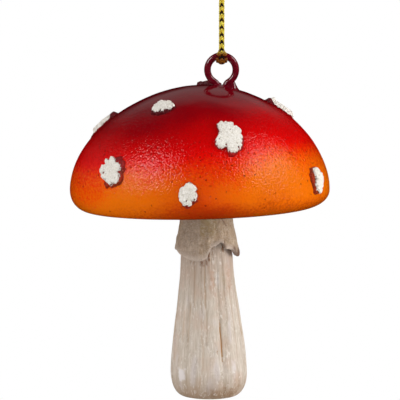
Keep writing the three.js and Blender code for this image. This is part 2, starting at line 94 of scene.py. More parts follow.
# %% [markdown]
# ## Tools for shapes
#
# Blender's operators act on whatever is selected, so a piece is picked up before each of them. What
# makes a piece look hand-made, such as lean, grooves and ragged edges, is moved into its corners in
# code, where a brush would do it by hand. For that the corners are read and written as one table of
# numbers, and a mark on each corner tells the finish what lies there.

# %% Pick up, settle, press and weld
def take(piece):
    bpy.ops.object.select_all(action="DESELECT")
    piece.select_set(True)
    bpy.context.view_layer.objects.active = piece


def settle(piece):
    """Put the piece's place, turn and size into its mesh."""
    take(piece)
    bpy.ops.object.transform_apply(location=True, rotation=True, scale=True)


def press(piece, kind, **settings):
    """Add a modifier and apply it."""
    take(piece)
    bpy.ops.object.modifier_add(type=kind)
    modifier = piece.modifiers[-1]
    for key, value in settings.items():
        setattr(modifier, key, value)
    bpy.ops.object.modifier_apply(modifier=modifier.name)


def weld(piece, distance=0.0005 * MM):
    """Merge corners that lie in one place, drop slivers and point all faces outwards."""
    take(piece)
    bpy.ops.object.mode_set(mode="EDIT")
    bpy.ops.mesh.select_all(action="SELECT")
    bpy.ops.mesh.remove_doubles(threshold=distance)
    bpy.ops.mesh.dissolve_degenerate(threshold=distance)
    bpy.ops.mesh.select_all(action="SELECT")
    bpy.ops.mesh.normals_make_consistent(inside=False)
    bpy.ops.object.mode_set(mode="OBJECT")


print("tools for pieces ready")

# %% Corners as numbers
def corners(piece):
    flat = np.empty(len(piece.data.vertices) * 3)
    piece.data.vertices.foreach_get("co", flat)
    return flat.reshape(-1, 3)


def move_corners(piece, places):
    piece.data.vertices.foreach_set("co", np.ascontiguousarray(places, np.float64).ravel())
    piece.data.update()


def mark(piece, name, values):
    layer = piece.data.attributes.new(name, "FLOAT", "POINT")
    layer.data.foreach_set("value", np.asarray(values, np.float32))


def smooth(share):
    """From 0 to 1 with a soft start and a soft end."""
    share = np.clip(share, 0.0, 1.0)
    return share * share * (3.0 - 2.0 * share)


print("tools for corners ready")

# %% [markdown]
# ## Tools for finishes
#
# Each finish is a small tree of shader nodes that read the place on the object, so that grain and
# shading are fixed to the piece. Colours are written as they look in the picture, from 0 to 255,
# and turned into the light values that the shader needs. A painted finish is built up as paint is,
# one thin coat over another, each with its own share of cover.

# %% Nodes and their sockets
def rgb(red, green, blue):
    def light(value):
        value /= 255.0
        return value / 12.92 if value <= 0.04045 else ((value + 0.055) / 1.055) ** 2.4
    return (light(red), light(green), light(blue), 1.0)


def new_finish(name):
    finish = bpy.data.materials.new(name)
    finish.use_nodes = True
    return finish, finish.node_tree, finish.node_tree.nodes["Principled BSDF"]


def give(tree, node, inputs):
    """Link each input to another node's output, or set it to a plain value."""
    for key, value in inputs.items():
        if isinstance(value, bpy.types.NodeSocket):
            tree.links.new(value, node.inputs[key])
        else:
            node.inputs[key].default_value = value


def add(tree, kind, inputs=None, **settings):
    made = tree.nodes.new(kind)
    for key, value in settings.items():
        setattr(made, key, value)
    give(tree, made, inputs or {})
    return made


print("tools for nodes ready")

# %% Numbers on the surface
def place_of(tree, stretch=None):
    place = add(tree, "ShaderNodeTexCoord").outputs["Object"]
    if stretch is None:
        return place
    return add(tree, "ShaderNodeMapping", {"Vector": place, "Scale": stretch}).outputs["Vector"]


def axes_of(tree):
    """How far each place lies along X, Y and Z, in metres."""
    return add(tree, "ShaderNodeSeparateXYZ", {"Vector": place_of(tree)}).outputs


def calc(tree, how, first, second=0.0):
    return add(tree, "ShaderNodeMath", {0: first, 1: second}, operation=how).outputs["Value"]


def times(tree, first, *others):
    for other in others:
        first = calc(tree, "MULTIPLY", first, other)
    return first


def plus(tree, first, second):
    return calc(tree, "ADD", first, second)


def minus(tree, first, second):
    return calc(tree, "SUBTRACT", first, second)


def span(tree, value, low, high, out_low=0.0, out_high=1.0):
    """A value between low and high becomes one between out_low and out_high, and stops there."""
    made = add(tree, "ShaderNodeMapRange", {
        "Value": value, "From Min": low, "From Max": high, "To Min": out_low, "To Max": out_high,
    })
    return made.outputs["Result"]


def grain(tree, size, detail=2.0, stretch=None, roughness=0.5):
    """Noise from 0 to 1 whose clouds are size metres long."""
    made = add(tree, "ShaderNodeTexNoise", {
        "Vector": place_of(tree, stretch), "Scale": 1.0 / size,
        "Detail": detail, "Roughness": roughness,
    })
    return made.outputs["Fac"]


def marked(tree, name, share=None):
    """A mark on the corners, in full or a share of it."""
    value = add(tree, "ShaderNodeAttribute", attribute_name=name).outputs["Fac"]
    return value if share is None else times(tree, value, share)


print("tools for numbers ready")

# %% Coats of paint
def tint(tree, share, under, over):
    made = add(tree, "ShaderNodeMix", data_type="RGBA")
    give(tree, made, {0: share, 6: under, 7: over})
    return made.outputs[2]


def layered(tree, colour, *coats):
    """Coats over a colour, one after another: how much of each shows, and its colour."""
    for share, coat in coats:
        colour = tint(tree, share, colour, coat)
    return colour


def bump(tree, shader, height, depth, strength=1.0):
    made = add(tree, "ShaderNodeBump", {"Height": height, "Distance": depth, "Strength": strength})
    tree.links.new(made.outputs["Normal"], shader.inputs["Normal"])
    return made.outputs["Normal"]


print("tools for coats ready")

# %% [markdown]
# ## The gold cord
#
# The cord is a thin knitted tube of gold lurex over a dark core. Close up, each row shows as a
# chevron, bright yarn over a brown gap. It could be a plain tube with stripes, but then its edge
# would be straight and it would not catch the light in points. So one row of the knit is modelled
# straight, repeated with an Array modifier and laid along the route with a Curve modifier, as a
# real knit repeats. The cord is hidden from reflections, where it would show as a dark stripe.
#
# The route repeats the solids': out of the knot, round the place of the hook, down one leg, under
# the wire of the eye and up the other leg.

# %% Route of the cord
WIRE_MIDDLE = -52.0
BIGHT_ROUND = 1.4
HOOK_MIDDLE = -2.0
HOOK_ROUND = 2.55
IN_KNOT = 0.6
HOOK_STEPS, LEG_STEPS, BIGHT_STEPS = 16, 80, 14


def half_route(side):
    tuck = math.asin(IN_KNOT / HOOK_ROUND)
    half = [(side * HOOK_ROUND * math.sin(a), HOOK_MIDDLE + HOOK_ROUND * math.cos(a))
            for a in np.linspace(tuck, math.pi / 2, HOOK_STEPS)]
    for share in np.linspace(0.0, 1.0, LEG_STEPS)[1:]:
        half.append((side * (HOOK_ROUND + (BIGHT_ROUND - HOOK_ROUND) * share),
                     HOOK_MIDDLE + (WIRE_MIDDLE - HOOK_MIDDLE) * share))
    for a in np.linspace(0.0, math.pi / 2, BIGHT_STEPS)[1:]:
        half.append((side * BIGHT_ROUND * math.cos(a), WIRE_MIDDLE - BIGHT_ROUND * math.sin(a)))
    return half


front, back = half_route(-1), half_route(1)
route = [Vector((0.0, y, z)) * MM for y, z in front + back[-2::-1]]


def length_of(points):
    return sum((b - a).length for a, b in zip(points, points[1:]))


print("cord", len(route), "points,", round(length_of(route) / MM, 1), "mm")

# %% One stitch
YARN = 0.158 * MM
STITCH_TURN = math.radians(43)
STITCH_OUT, STITCH_DIP = 0.48 * MM, 0.08 * MM
STITCH_LONG, STITCH_BOW = 0.66 * MM, 1.15


def poly_line(name, points):
    line = bpy.data.curves.new(name, "CURVE")
    line.dimensions = "3D"
    spline = line.splines.new("POLY")
    spline.points.add(len(points) - 1)
    for corner, point in zip(spline.points, points):
        corner.co = (*point, 1.0)
    piece = bpy.data.objects.new(name, line)
    bpy.context.scene.collection.objects.link(piece)
    return piece


def strand(name, points, radius, rounding=1):
    """A round strand through the points, as a mesh."""
    piece = poly_line(name, points)
    piece.data.bevel_depth = radius
    piece.data.bevel_resolution = rounding
    piece.data.use_fill_caps = True
    take(piece)
    bpy.ops.object.convert(target="MESH")
    weld(bpy.context.object)
    bpy.ops.object.shade_smooth()
    return bpy.context.object


def stitch(turn, start):
    """The yarn comes over the cord in the shape of a roof."""
    points = []
    for t in np.linspace(-1.0, 1.0, 7):
        angle = turn + STITCH_TURN * t
        reach = STITCH_OUT - STITCH_DIP * t * t
        points.append((start + STITCH_LONG * abs(t) ** STITCH_BOW,
                       reach * math.cos(angle), reach * math.sin(angle)))
    return strand("stitch", points, YARN)


print("a stitch of yarn", round(2 * YARN / MM, 2), "mm thick")

# %% [markdown]
# ### The yarn's finish
#
# Lurex is a gilded film, so it glitters in points instead of shining evenly as a wire would. Fine
# noise mixes two golds and changes how rough each point is. Where the yarn dips between its
# neighbours, which the mark "lift" says, it is painted brown as shade. Under the wire, where a
# second mark says so, it is painted dark orange-brown as shade and as a reflection of the red wire.

# %% Gold yarn and dark core
def gold_yarn():
    finish, tree, shader = new_finish("gold_yarn")
    flake = grain(tree, 0.2 * MM)
    film = tint(tree, span(tree, flake, 0.40, 0.58), rgb(226, 168, 8), rgb(255, 250, 104))
    # Dark orange-brown for the cord under the wire: painted shade and a painted reflection of the
    # wire.
    worn = tint(tree, span(tree, flake, 0.35, 0.65), rgb(52, 18, 2), rgb(176, 90, 14))
    give(tree, shader, {
        "Base Color": layered(tree, film,
                              # Painted shade where the yarn dips low between its neighbours.
                              (span(tree, marked(tree, "lift"), 0.78, 0.42), rgb(84, 42, 2)),
                              (marked(tree, "rub", 0.95), worn)),
        "Roughness": span(tree, flake, 0.3, 0.7, 0.40, 0.20),
        "Metallic": 0.15,
    })
    bump(tree, shader, grain(tree, 0.09 * MM, 1.0), 0.02 * MM, 0.5)
    return finish


def dark_core():
    finish, tree, shader = new_finish("dark_core")
    thread = tint(tree, grain(tree, 0.2 * MM), rgb(26, 8, 2), rgb(52, 20, 4))
    give(tree, shader, {"Base Color": thread, "Roughness": 0.8})
    return finish


GOLD, BROWN = gold_yarn(), dark_core()
print("finishes:", GOLD.name, "and", BROWN.name)

# %% One row of the knit
ROW_LENGTH = 1.63 * MM
SECOND_YARN = 0.42 * MM
WALES = 4
CORE, CORE_SIDES = 0.31 * MM, 8
LOW_YARN, YARN_RISE = 0.33, 0.30


def joined(name, pieces):
    bpy.ops.object.select_all(action="DESELECT")
    for piece in pieces:
        piece.select_set(True)
    bpy.context.view_layer.objects.active = pieces[0]
    bpy.ops.object.join()
    pieces[0].name = pieces[0].data.name = name
    return pieces[0]


def knit_row():
    yarns = []
    for wale in range(WALES):
        for start in (0.0, SECOND_YARN):
            yarns.append(stitch(2 * math.pi * wale / WALES, start))
    for yarn in yarns:
        yarn.data.materials.append(GOLD)
    bpy.ops.object.select_all(action="DESELECT")
    bpy.ops.mesh.primitive_cylinder_add(
        vertices=CORE_SIDES, radius=CORE, depth=ROW_LENGTH, end_fill_type="NOTHING",
        location=(ROW_LENGTH / 2, 0, 0), rotation=(0, math.pi / 2, 0),
    )
    core = bpy.context.object
    settle(core)
    bpy.ops.object.shade_smooth()
    core.data.materials.append(BROWN)
    row = joined("knit_row", yarns + [core])
    high = np.hypot(*corners(row)[:, 1:].T) / MM
    # How high each corner of the yarn stands; the finish paints the low yarn darker, as shade.
    mark(row, "lift", np.clip((high - LOW_YARN) / YARN_RISE, 0.0, 1.0))
    return row


knit = knit_row()
print("one row of the knit:", len(knit.data.polygons), "faces")

# %% Lay the knit along a route
def knitted(name, points):
    """The knit, repeated and laid along the points."""
    rail = poly_line(name + "_route", points)
    rail.data.twist_mode = "MINIMUM"
    take(knit)
    bpy.ops.object.duplicate(linked=False)
    piece = bpy.context.object
    piece.name = piece.data.name = name
    rows = max(1, round(length_of(points) / ROW_LENGTH))
    press(piece, "ARRAY", count=rows, use_relative_offset=False, use_constant_offset=True,
          constant_offset_displace=(ROW_LENGTH, 0, 0),
          use_merge_vertices=True, merge_threshold=0.001 * MM)
    bpy.ops.object.mode_set(mode="EDIT")
    bpy.ops.mesh.select_all(action="SELECT")
    bpy.ops.mesh.fill_holes(sides=CORE_SIDES)
    bpy.ops.object.mode_set(mode="OBJECT")
    places = corners(piece)
    places[:, 0] *= length_of(points) / (rows * ROW_LENGTH)
    move_corners(piece, places)
    press(piece, "CURVE", object=rail, deform_axis="POS_X")
    bpy.data.objects.remove(rail)
    return piece


# Under the wire the cord is pressed flat, so it widens sideways, and its gold is painted dark
# there as shade and as a reflection of the red wire.
UNDER_WIRE_REACH, FLATTENED = 1.3, 1.05
cord = knitted("hanging_cord_knit", route)
places = corners(cord)
near_wire = smooth(WIRE_MIDDLE + UNDER_WIRE_REACH - places[:, 2] / MM)
places[:, 0] *= 1.0 + FLATTENED * near_wire
move_corners(cord, places)
# This mark says where shade and the red wire's reflection are painted on the cord.
mark(cord, "rub", near_wire)
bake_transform(cord)
cord.visible_glossy = False
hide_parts("cord_front_leg", "cord_back_leg", "cord_bight")
print("cord:", len(cord.data.polygons), "faces")

# %% [markdown]
# ### The knot
#
# Both ends of the loop are tied together in one overhand knot and cut off short. The knot is the
# same knit, wound twice round the two legs, with two frayed tails standing out of it. A lump would
# do from afar, but laid as a route the knit shows which strand goes over which.

# %% Wraps and tails
WRAP_FROM, WRAP_TURNS, WRAP_ROUND = math.radians(-70), 2.4, 1.22
WRAP_FOOT, WRAP_TALL, TUCKED, TUCK_SHARE = 0.75, 2.35, 0.35, 0.12
TAIL_OUT, TAIL_CURVE, TAIL_FOOT, TAIL_TALL, TAIL_SWAY = 2.45, 1.25, 1.2, 6.6, 0.12
HAIRS, HAIR = 7, 0.09 * MM


def wrap_route():
    points = []
    for t in np.linspace(0.0, 1.0, 60):
        turn = WRAP_FROM + WRAP_TURNS * 2 * math.pi * t
        tuck = smooth(np.array(min(t, 1 - t) / TUCK_SHARE))
        reach = TUCKED + (WRAP_ROUND - TUCKED) * float(tuck)
        height = WRAP_FOOT + WRAP_TALL * t
        points.append(Vector((reach * math.cos(turn), reach * math.sin(turn), height)) * MM)
    return points


def tail_route(side):
    points = []
    for t in np.linspace(0.0, 1.0, 16):
        sway = TAIL_SWAY * side * math.sin(3 * t)
        out = side * (TUCKED + TAIL_OUT * t ** TAIL_CURVE)
        points.append(Vector((sway, out, TAIL_FOOT + TAIL_TALL * t)) * MM)
    return points


def frayed(tail):
    """The hairs of yarn that stand out of a cut end."""
    tip, lean = tail[-1], (tail[-1] - tail[-2]).normalized()
    hairs = []
    for number in range(HAIRS):
        turn = 2 * math.pi * number / HAIRS
        spread = Vector((math.cos(turn), math.sin(turn), 0.25 * math.sin(3 * turn)))
        far = 0.5 + 0.1 * math.cos(5 * number)
        points = [tip - lean * 0.4 * MM + spread * 0.2 * MM,
                  tip + lean * 0.25 * MM + spread * 0.33 * MM,
                  tip + lean * far * MM + spread * 0.55 * MM]
        hair = strand("hair", points, HAIR, 0)
        hair.data.materials.append(GOLD)
        mark(hair, "lift", np.ones(len(hair.data.vertices)))
        hairs.append(hair)
    return hairs


knot_parts = [knitted("wraps", wrap_route())]
for side in (-1, 1):
    tail = tail_route(side)
    knot_parts += [knitted("tail", tail)] + frayed(tail)
print("knot from", len(knot_parts), "strands")

# %% Tie the knot
knot = joined("loop_knot", knot_parts)
mark(knot, "rub", np.zeros(len(knot.data.vertices)))
bpy.data.objects.remove(knit)
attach(knot, "hanging_cord")
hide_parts("cord_knot")
print("knot:", len(knot.data.polygons), "faces")

# %% [markdown]
# ## A lathe in code
#
# Most of this ornament is round. Such a piece could be drawn as an outline and spun, but then it
# has a seam to merge. Here a circle is extruded ring by ring and each ring is resized, as a lathe
# takes a piece down, and the ends are closed. Soft noise, read at the corners, later pushes the
# round shape about.

# %% Turning and clouds
def metres(rings):
    return [(radius * MM, height * MM) for radius, height in rings]


def turned(name, rings, segments, ring_shape=False):
    """A round piece about Z from (radius, height) rings, closed at both poles, or a closed ring."""
    bpy.ops.object.select_all(action="DESELECT")
    radius, height = rings[0]
    bpy.ops.mesh.primitive_circle_add(
        vertices=segments, radius=radius, location=(0, 0, height),
        fill_type="NOTHING" if ring_shape else "TRIFAN",
    )
    piece = bpy.context.object
    piece.name = piece.data.name = name
    bpy.ops.object.mode_set(mode="EDIT")
    bpy.ops.mesh.select_all(action="SELECT")
    if not ring_shape:
        bpy.ops.mesh.region_to_loop()
    for new_radius, new_height in rings[1:]:
        rise = (0, 0, new_height - height)
        bpy.ops.mesh.extrude_edges_move(TRANSFORM_OT_translate={"value": rise})
        grow = new_radius / radius
        bpy.ops.transform.resize(value=(grow, grow, 1), center_override=(0, 0, new_height))
        radius, height = new_radius, new_height
    if not ring_shape:
        bpy.ops.mesh.extrude_edges_move(TRANSFORM_OT_translate={"value": (0, 0, 0)})
        bpy.ops.mesh.merge(type="CENTER")
    bpy.ops.mesh.select_all(action="SELECT")
    if ring_shape:
        bpy.ops.mesh.remove_doubles(threshold=1e-7)
    bpy.ops.mesh.normals_make_consistent(inside=False)
    bpy.ops.object.mode_set(mode="OBJECT")
    settle(piece)
    bpy.ops.object.shade_smooth()
    return piece


OCTAVE_SHIFT = 7.3


def clouds(places, size, seed=0.0, octaves=1):
    """Soft noise from about -1 to 1. size is one cloud's length, or one for each axis."""
    scaled = np.asarray(places, float) / np.asarray(size, float) + seed
    total = np.zeros(len(scaled))
    for octave in range(octaves):
        step = scaled * 2.0 ** octave + OCTAVE_SHIFT * octave
        total += np.array([noise.noise(Vector(p)) for p in step]) * 0.5 ** octave
    return total


print("lathe ready")

# %% [markdown]
# ## The cap
#
# The cap is one casting: a full dome, a rolled lip and a shallow recess below for the gills. Its
# outline is turned ring by ring. A hand-made master is never true, so the crown is then pushed a
# little to the right and the lip hangs lower on the left. A slight waviness keeps the gloss from
# looking machined.

# %% Sizes and lean of the cap
cap_low, cap_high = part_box("cap")
CAP_X = (cap_low.x + cap_high.x) / 2
CROWN_Z = cap_high.z
CAP_R, DOME_H, FULL = 29.0, 23.3, 1.86
LIP_IN, LIP_DROP, LIP_LEAN, CROWN_SHIFT = 4.5, 4.1, 0.22, 0.9
RECESS_R, RECESS_Z, SOCKET_R, SOCKET_Z, STEM_SHIFT = 23.4, -1.5, 3.7, 4.5, 1.5
WIDEST_Z = CROWN_Z - DOME_H * MM


def askew(p):
    """Crown to the right, lip lower on the left. p is in mm from the middle of the widest ring."""
    p = p.copy()
    r = np.hypot(p[:, 0], p[:, 1]) / CAP_R
    below = p[:, 2] < 0
    p[below, 2] *= 1 - LIP_LEAN * (p[below, 0] / CAP_R) * r[below] ** 2
    p[~below, 0] += CROWN_SHIFT * (p[~below, 2] / DOME_H) ** 2
    return p


def to_frame(p):
    return p * MM + np.array([CAP_X, 0.0, WIDEST_Z])


print("cap's axis at x", round(CAP_X / MM, 2), "mm, widest at z", round(WIDEST_Z / MM, 2), "mm")

# %% Turn the cap
rings = []
for turn in np.radians(np.linspace(89.0, 0.0, 58)):
    rings.append((CAP_R * math.cos(turn) ** (2 / FULL), DOME_H * math.sin(turn) ** (2 / FULL)))
for turn in np.radians(np.linspace(0.0, 90.0, 16)[1:]):
    rings.append((CAP_R - LIP_IN + LIP_IN * math.cos(turn), -LIP_DROP * math.sin(turn)))
rings += [(RECESS_R + 0.3, -LIP_DROP), (RECESS_R, -LIP_DROP + 0.3)]
rings += [(RECESS_R, RECESS_Z - 0.2), (RECESS_R - 0.2, RECESS_Z)]
rings += [(r, RECESS_Z) for r in (20.0, 16.0, 12.0, 8.0, SOCKET_R + 0.1)]
rings += [(SOCKET_R, RECESS_Z + 0.1), (SOCKET_R, SOCKET_Z - 0.1)]
rings += [(SOCKET_R - 0.1, SOCKET_Z), (1.0, SOCKET_Z)]
cap = turned("cap_shell", metres(rings), 176)
print("cap turned from", len(rings), "rings")

# %% Push the cap out of true
NEAR_SOCKET = 9.0
BROAD_WAVE, FINE_WAVE = 0.10, 0.035
p = corners(cap) / MM
r = np.hypot(p[:, 0], p[:, 1])
inside = (r < NEAR_SOCKET) & (p[:, 2] < SOCKET_Z + 0.5)
p[inside, 0] += STEM_SHIFT * smooth((NEAR_SOCKET - r[inside]) / 4.0)
p = askew(p)
out = p / np.array([CAP_R, CAP_R, DOME_H]) ** 2
out /= np.linalg.norm(out, axis=1)[:, None]
shell = (p[:, 2] > -LIP_DROP * 0.7) & ~inside & (np.hypot(p[:, 0], p[:, 1]) + p[:, 2] > 12)
wave = BROAD_WAVE * clouds(p, 9.0, 3.1) + FINE_WAVE * clouds(p, 2.6, 5.7)
p += out * (wave * shell * smooth((p[:, 2] + LIP_DROP) / 3.0))[:, None]
move_corners(cap, to_frame(p))
press(cap, "SUBSURF", levels=1, render_levels=1)
print("cap:", len(cap.data.polygons), "faces")

# %% Hole for the eye's legs
eye_low, eye_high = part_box("hanging_eye")
EYE_X = (eye_low.x + eye_high.x) / 2
LEG_HOLE, HOLE_DEPTH, HOLE_SPARE = 1.9 * MM, 12 * MM, 0.3 * MM
bpy.ops.object.select_all(action="DESELECT")
bpy.ops.mesh.primitive_cylinder_add(
    vertices=48, radius=LEG_HOLE, depth=HOLE_DEPTH,
    location=(EYE_X, 0, eye_low.z - HOLE_SPARE + HOLE_DEPTH / 2),
)
drill = bpy.context.object
press(cap, "BOOLEAN", object=drill, operation="DIFFERENCE", solver="EXACT")
bpy.data.objects.remove(drill)
weld(cap)
print("cap with its hole:", len(cap.data.polygons), "faces")

# %% [markdown]
# ### The cap's spray
#
# The cap was sprayed by hand: maroon over the crown, crimson and scarlet below it, then orange and
# amber to the lip. The colours run into each other in a fine mist, lower on the left than on the
# right, and the orange reaches higher in two places at the front. Under the front of the lip the
# colour is darkened as painted shade. Painted by hand on the mesh, this would take a picture file.
# A gradient by height needs none, and noise breaks its edges up as spray does.

# %% Spray
SPRAY = [
    (0.00, rgb(198, 106, 6)), (0.03, rgb(190, 74, 3)), (0.09, rgb(222, 96, 3)),
    (0.16, rgb(236, 112, 4)), (0.23, rgb(240, 112, 4)), (0.30, rgb(240, 90, 3)),
    (0.37, rgb(236, 54, 2)), (0.435, rgb(231, 12, 1)), (0.50, rgb(223, 2, 2)),
    (0.60, rgb(204, 1, 3)), (0.70, rgb(181, 1, 6)), (0.79, rgb(147, 1, 10)),
    (0.88, rgb(116, 2, 14)), (1.00, rgb(104, 4, 16)),
]
# Each: mm to the right, back and up from the middle of the widest ring, then how far it lifts.
ORANGE_SPOTS = [(15.0, -23.0, 6.5, 0.085), (-15.0, -22.5, 5.5, 0.05)]
BELL_BASE = 2.72


def bands(tree, level, stops):
    made = add(tree, "ShaderNodeValToRGB", {"Fac": level})
    ramp = made.color_ramp
    while len(ramp.elements) < len(stops):
        ramp.elements.new(1.0)
    for element, (where, colour) in zip(ramp.elements, stops):
        element.position, element.color = where, colour
    return made.outputs["Color"]


def bell(tree, value, middle, width):
    """1 at the middle, fading out softly to both sides."""
    off = calc(tree, "DIVIDE", minus(tree, value, middle), width)
    return calc(tree, "POWER", BELL_BASE, times(tree, off, off, -1.0))


def spray_tilt(tree, x, level):
    """How much darker the spray is than its height says: more on the left, less on the right."""
    right = span(tree, x, CAP_X, CAP_X + CAP_R * MM)
    left = span(tree, x, CAP_X, CAP_X - CAP_R * MM)
    upper_left = times(tree, left, minus(tree, 1.0, left), span(tree, level, 0.36, 0.56, 0.0, 0.32),
                       span(tree, level, 0.66, 0.86, 1.0, 0.5))
    far_left = times(tree, calc(tree, "POWER", left, 2.0),
                     span(tree, level, 0.05, 0.30, 0.25, 0.09))
    paler = times(tree, right, 0.15, span(tree, level, 0.22, 0.44))
    tilt = minus(tree, plus(tree, far_left, upper_left), paler)
    for across, back, up, lift in ORANGE_SPOTS:
        spot = Vector((CAP_X + across * MM, back * MM, WIDEST_Z + up * MM))
        near = add(tree, "ShaderNodeVectorMath", {0: place_of(tree), 1: spot}, operation="DISTANCE")
        tilt = minus(tree, tilt, span(tree, near.outputs["Value"], 9.0 * MM, 3.0 * MM, 0.0, lift))
    return tilt


def sprayed(tree):
    """The colour of the spray at each place, and painted shade under the front of the lip."""
    x, y, z = axes_of(tree)
    level = span(tree, z, WIDEST_Z - LIP_DROP * MM, CROWN_Z)
    tilt = spray_tilt(tree, x, level)
    fog = grain(tree, 0.5 * MM, 3.0, roughness=0.65)
    mist = times(tree, span(tree, fog, 0.3, 0.7, -0.07, 0.07),
                 span(tree, level, 0.45, 0.62, 1.0, 0.3))
    drift = span(tree, grain(tree, 13.0 * MM), 0.25, 0.75, -0.045, 0.045)
    level = plus(tree, plus(tree, level, tilt), plus(tree, mist, drift))
    colour = bands(tree, level, SPRAY)
    veil = times(tree, bell(tree, x, CAP_X + 0.5 * MM, 8.5 * MM),
                 span(tree, y, 6.0 * MM, -6.0 * MM),
                 span(tree, grain(tree, 5.0 * MM), 0.2, 0.8, 0.35, 0.75))
    red_veil = tint(tree, span(tree, level, 0.39, 0.50), rgb(218, 40, 2), colour)
    # Painted shade: the bottom of the lip is darker at the front.
    lip_shade = times(tree, bell(tree, x, CAP_X + 2.0 * MM, 10.5 * MM),
                      span(tree, y, 6.0 * MM, -6.0 * MM, 0.2, 0.62),
                      span(tree, z, WIDEST_Z, WIDEST_Z - 3.2 * MM))
    return layered(tree, colour, (veil, red_veil), (lip_shade, rgb(136, 24, 2)))


print("spray in", len(SPRAY), "bands")

# %% [markdown]
# ### The cap's lacquer
#
# Gloss lacquer lies over the spray, with a stipple like orange peel, and the casting's pinholes
# show as dark specks lower down. The shader's coat is the lacquer. One bump gives its stipple and
# its pits, and the same noise darkens the hollows where colour pooled, so that both sit in one
# place.

# %% Cap paint
PINHOLE_CELL, PINHOLES_LEFT_OUT = 1.15 * MM, 0.66


def pinholes(tree, height):
    cells = add(tree, "ShaderNodeTexVoronoi", {
        "Vector": place_of(tree), "Scale": 1.0 / PINHOLE_CELL,
    })
    lot = add(tree, "ShaderNodeSeparateColor", {"Color": cells.outputs["Color"]}).outputs["Red"]
    picked = calc(tree, "GREATER_THAN", lot, PINHOLES_LEFT_OUT)
    ragged = span(tree, grain(tree, 0.22 * MM), 0.3, 0.7, -0.12, 0.12)
    hole = span(tree, plus(tree, cells.outputs["Distance"], ragged), 0.10, 0.19, 1.0, 0.0)
    return times(tree, hole, picked, span(tree, height, 0.62, 0.45))


def cap_paint():
    finish, tree, shader = new_finish("cap_lacquer")
    height = span(tree, axes_of(tree)["Z"], WIDEST_Z, CROWN_Z)
    pit = pinholes(tree, height)
    stipple = grain(tree, 0.45 * MM, 1.5)
    pooled = times(tree, span(tree, stipple, 0.48, 0.30, 0.0, 0.55),
                   span(tree, height, 0.75, 0.45), span(tree, height, 0.12, 0.34, 0.1, 1.0))
    give(tree, shader, {
        "Base Color": layered(tree, sprayed(tree), (times(tree, pit, 0.75), rgb(112, 18, 3)),
                              (pooled, rgb(150, 14, 4))),
        "Roughness": 0.5, "Specular IOR Level": 0.0, "Coat Weight": 1.0, "Coat Roughness": 0.11,
    })
    peel = plus(tree, stipple, times(tree, grain(tree, 1.2 * MM, 1.0), 0.25))
    peel = minus(tree, peel, times(tree, pit, 0.8))
    strength = times(tree, span(tree, height, 0.85, 0.52, 0.03, 0.9),
                     span(tree, height, 0.0, 0.12, 0.4, 1.0))
    normal = bump(tree, shader, peel, 0.22 * MM, strength)
    tree.links.new(normal, shader.inputs["Coat Normal"])
    return finish


def dress(piece, body, slot, finish, *nodes):
    """The piece takes its finish, rides on its body and stands for its solids."""
    piece.data.materials.clear()
    piece.data.materials.append(finish)
    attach(piece, body)
    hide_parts(*nodes)
    print(piece.name, len(piece.data.polygons), "faces on", body)


dress(cap, "mushroom", "cap_paint", cap_paint(), "cap")

# %% [markdown]
# ## The warts
#
# On the real piece the warts are raised scabs in the casting. They were sprayed with the cap, then
# dabbed with thick white paint, so the top is white and crusty while the steep sides stay red. They
# could be sculpted out of the cap, but then none could be copied or moved. So one blank is turned,
# copied for each wart and laid on the dome with its own ragged outline. A mark on each corner says
# how much white lies there, because the dab has a torn edge of its own, inside the scab's edge.

# %% Wart blank
SPOKES = 120
blank_rings = [(s, 1.0) for s in np.linspace(0.05, 0.95, 15)] + [(0.98, 0.97), (1.0, 0.88)]
blank_rings += [(1.02, 0.68), (1.035, 0.48), (1.05, 0.28), (1.065, 0.1)]
blank_rings += [(1.08, -0.1), (1.08, -0.3), (0.5, -0.32)]
blank = turned("wart_blank", blank_rings, SPOKES)
blank_places = corners(blank)
blank_share = np.hypot(blank_places[:, 0], blank_places[:, 1])
blank_angle = np.arctan2(blank_places[:, 1], blank_places[:, 0])
blank_level = blank_places[:, 2]
spoke = np.stack([np.cos(blank_angle), np.sin(blank_angle)], axis=1)
print("wart blank:", len(blank.data.polygons), "faces")

# %% The dome under a wart
def on_dome(aim):
    """Where rays from the middle of the widest ring meet the cap, and which way it faces there."""
    d = aim / np.linalg.norm(aim, axis=1)[:, None]
    flat = np.hypot(d[:, 0], d[:, 1])
    top = np.maximum(d[:, 2], 0.0)
    t = ((flat / CAP_R) ** FULL + (top / DOME_H) ** FULL) ** (-1.0 / FULL)
    a, b, c = flat / LIP_IN, (CAP_R - LIP_IN) / LIP_IN, d[:, 2] / LIP_DROP
    inner = np.maximum(a * a * b * b - (a * a + c * c) * (b * b - 1.0), 0.0)
    low = d[:, 2] < 0
    t[low] = ((a * b + np.sqrt(inner)) / (a * a + c * c))[low]
    p = d * t[:, None]
    r = np.hypot(p[:, 0], p[:, 1])
    side = (r / CAP_R) ** (FULL - 1.0) / CAP_R
    rise = (np.maximum(p[:, 2], 0.0) / DOME_H) ** (FULL - 1.0) / DOME_H
    side[low] = (2.0 * (r - CAP_R + LIP_IN) / LIP_IN ** 2)[low]
    rise[low] = (2.0 * p[:, 2] / LIP_DROP ** 2)[low]
    n = np.stack([side * p[:, 0] / r, side * p[:, 1] / r, rise], axis=1)
    return p, n / np.linalg.norm(n, axis=1)[:, None]


def seat_of(azimuth, rise):
    """A wart's middle on the dome, and the directions across it and up it."""
    ring = CAP_R * math.cos(rise) ** (2 / FULL)
    height = DOME_H * math.sin(rise) ** (2 / FULL)
    aim = np.array([[ring * math.cos(azimuth), ring * math.sin(azimuth), height]])
    middle, facing = (x[0] for x in on_dome(aim))
    across = np.cross([0.0, 0.0, 1.0], facing)
    across /= np.linalg.norm(across)
    return middle, across, np.cross(facing, across)


seat = seat_of(0.0, math.pi / 4)[0]
print("halfway up on the right the dome is at", np.round(seat, 1), "mm")

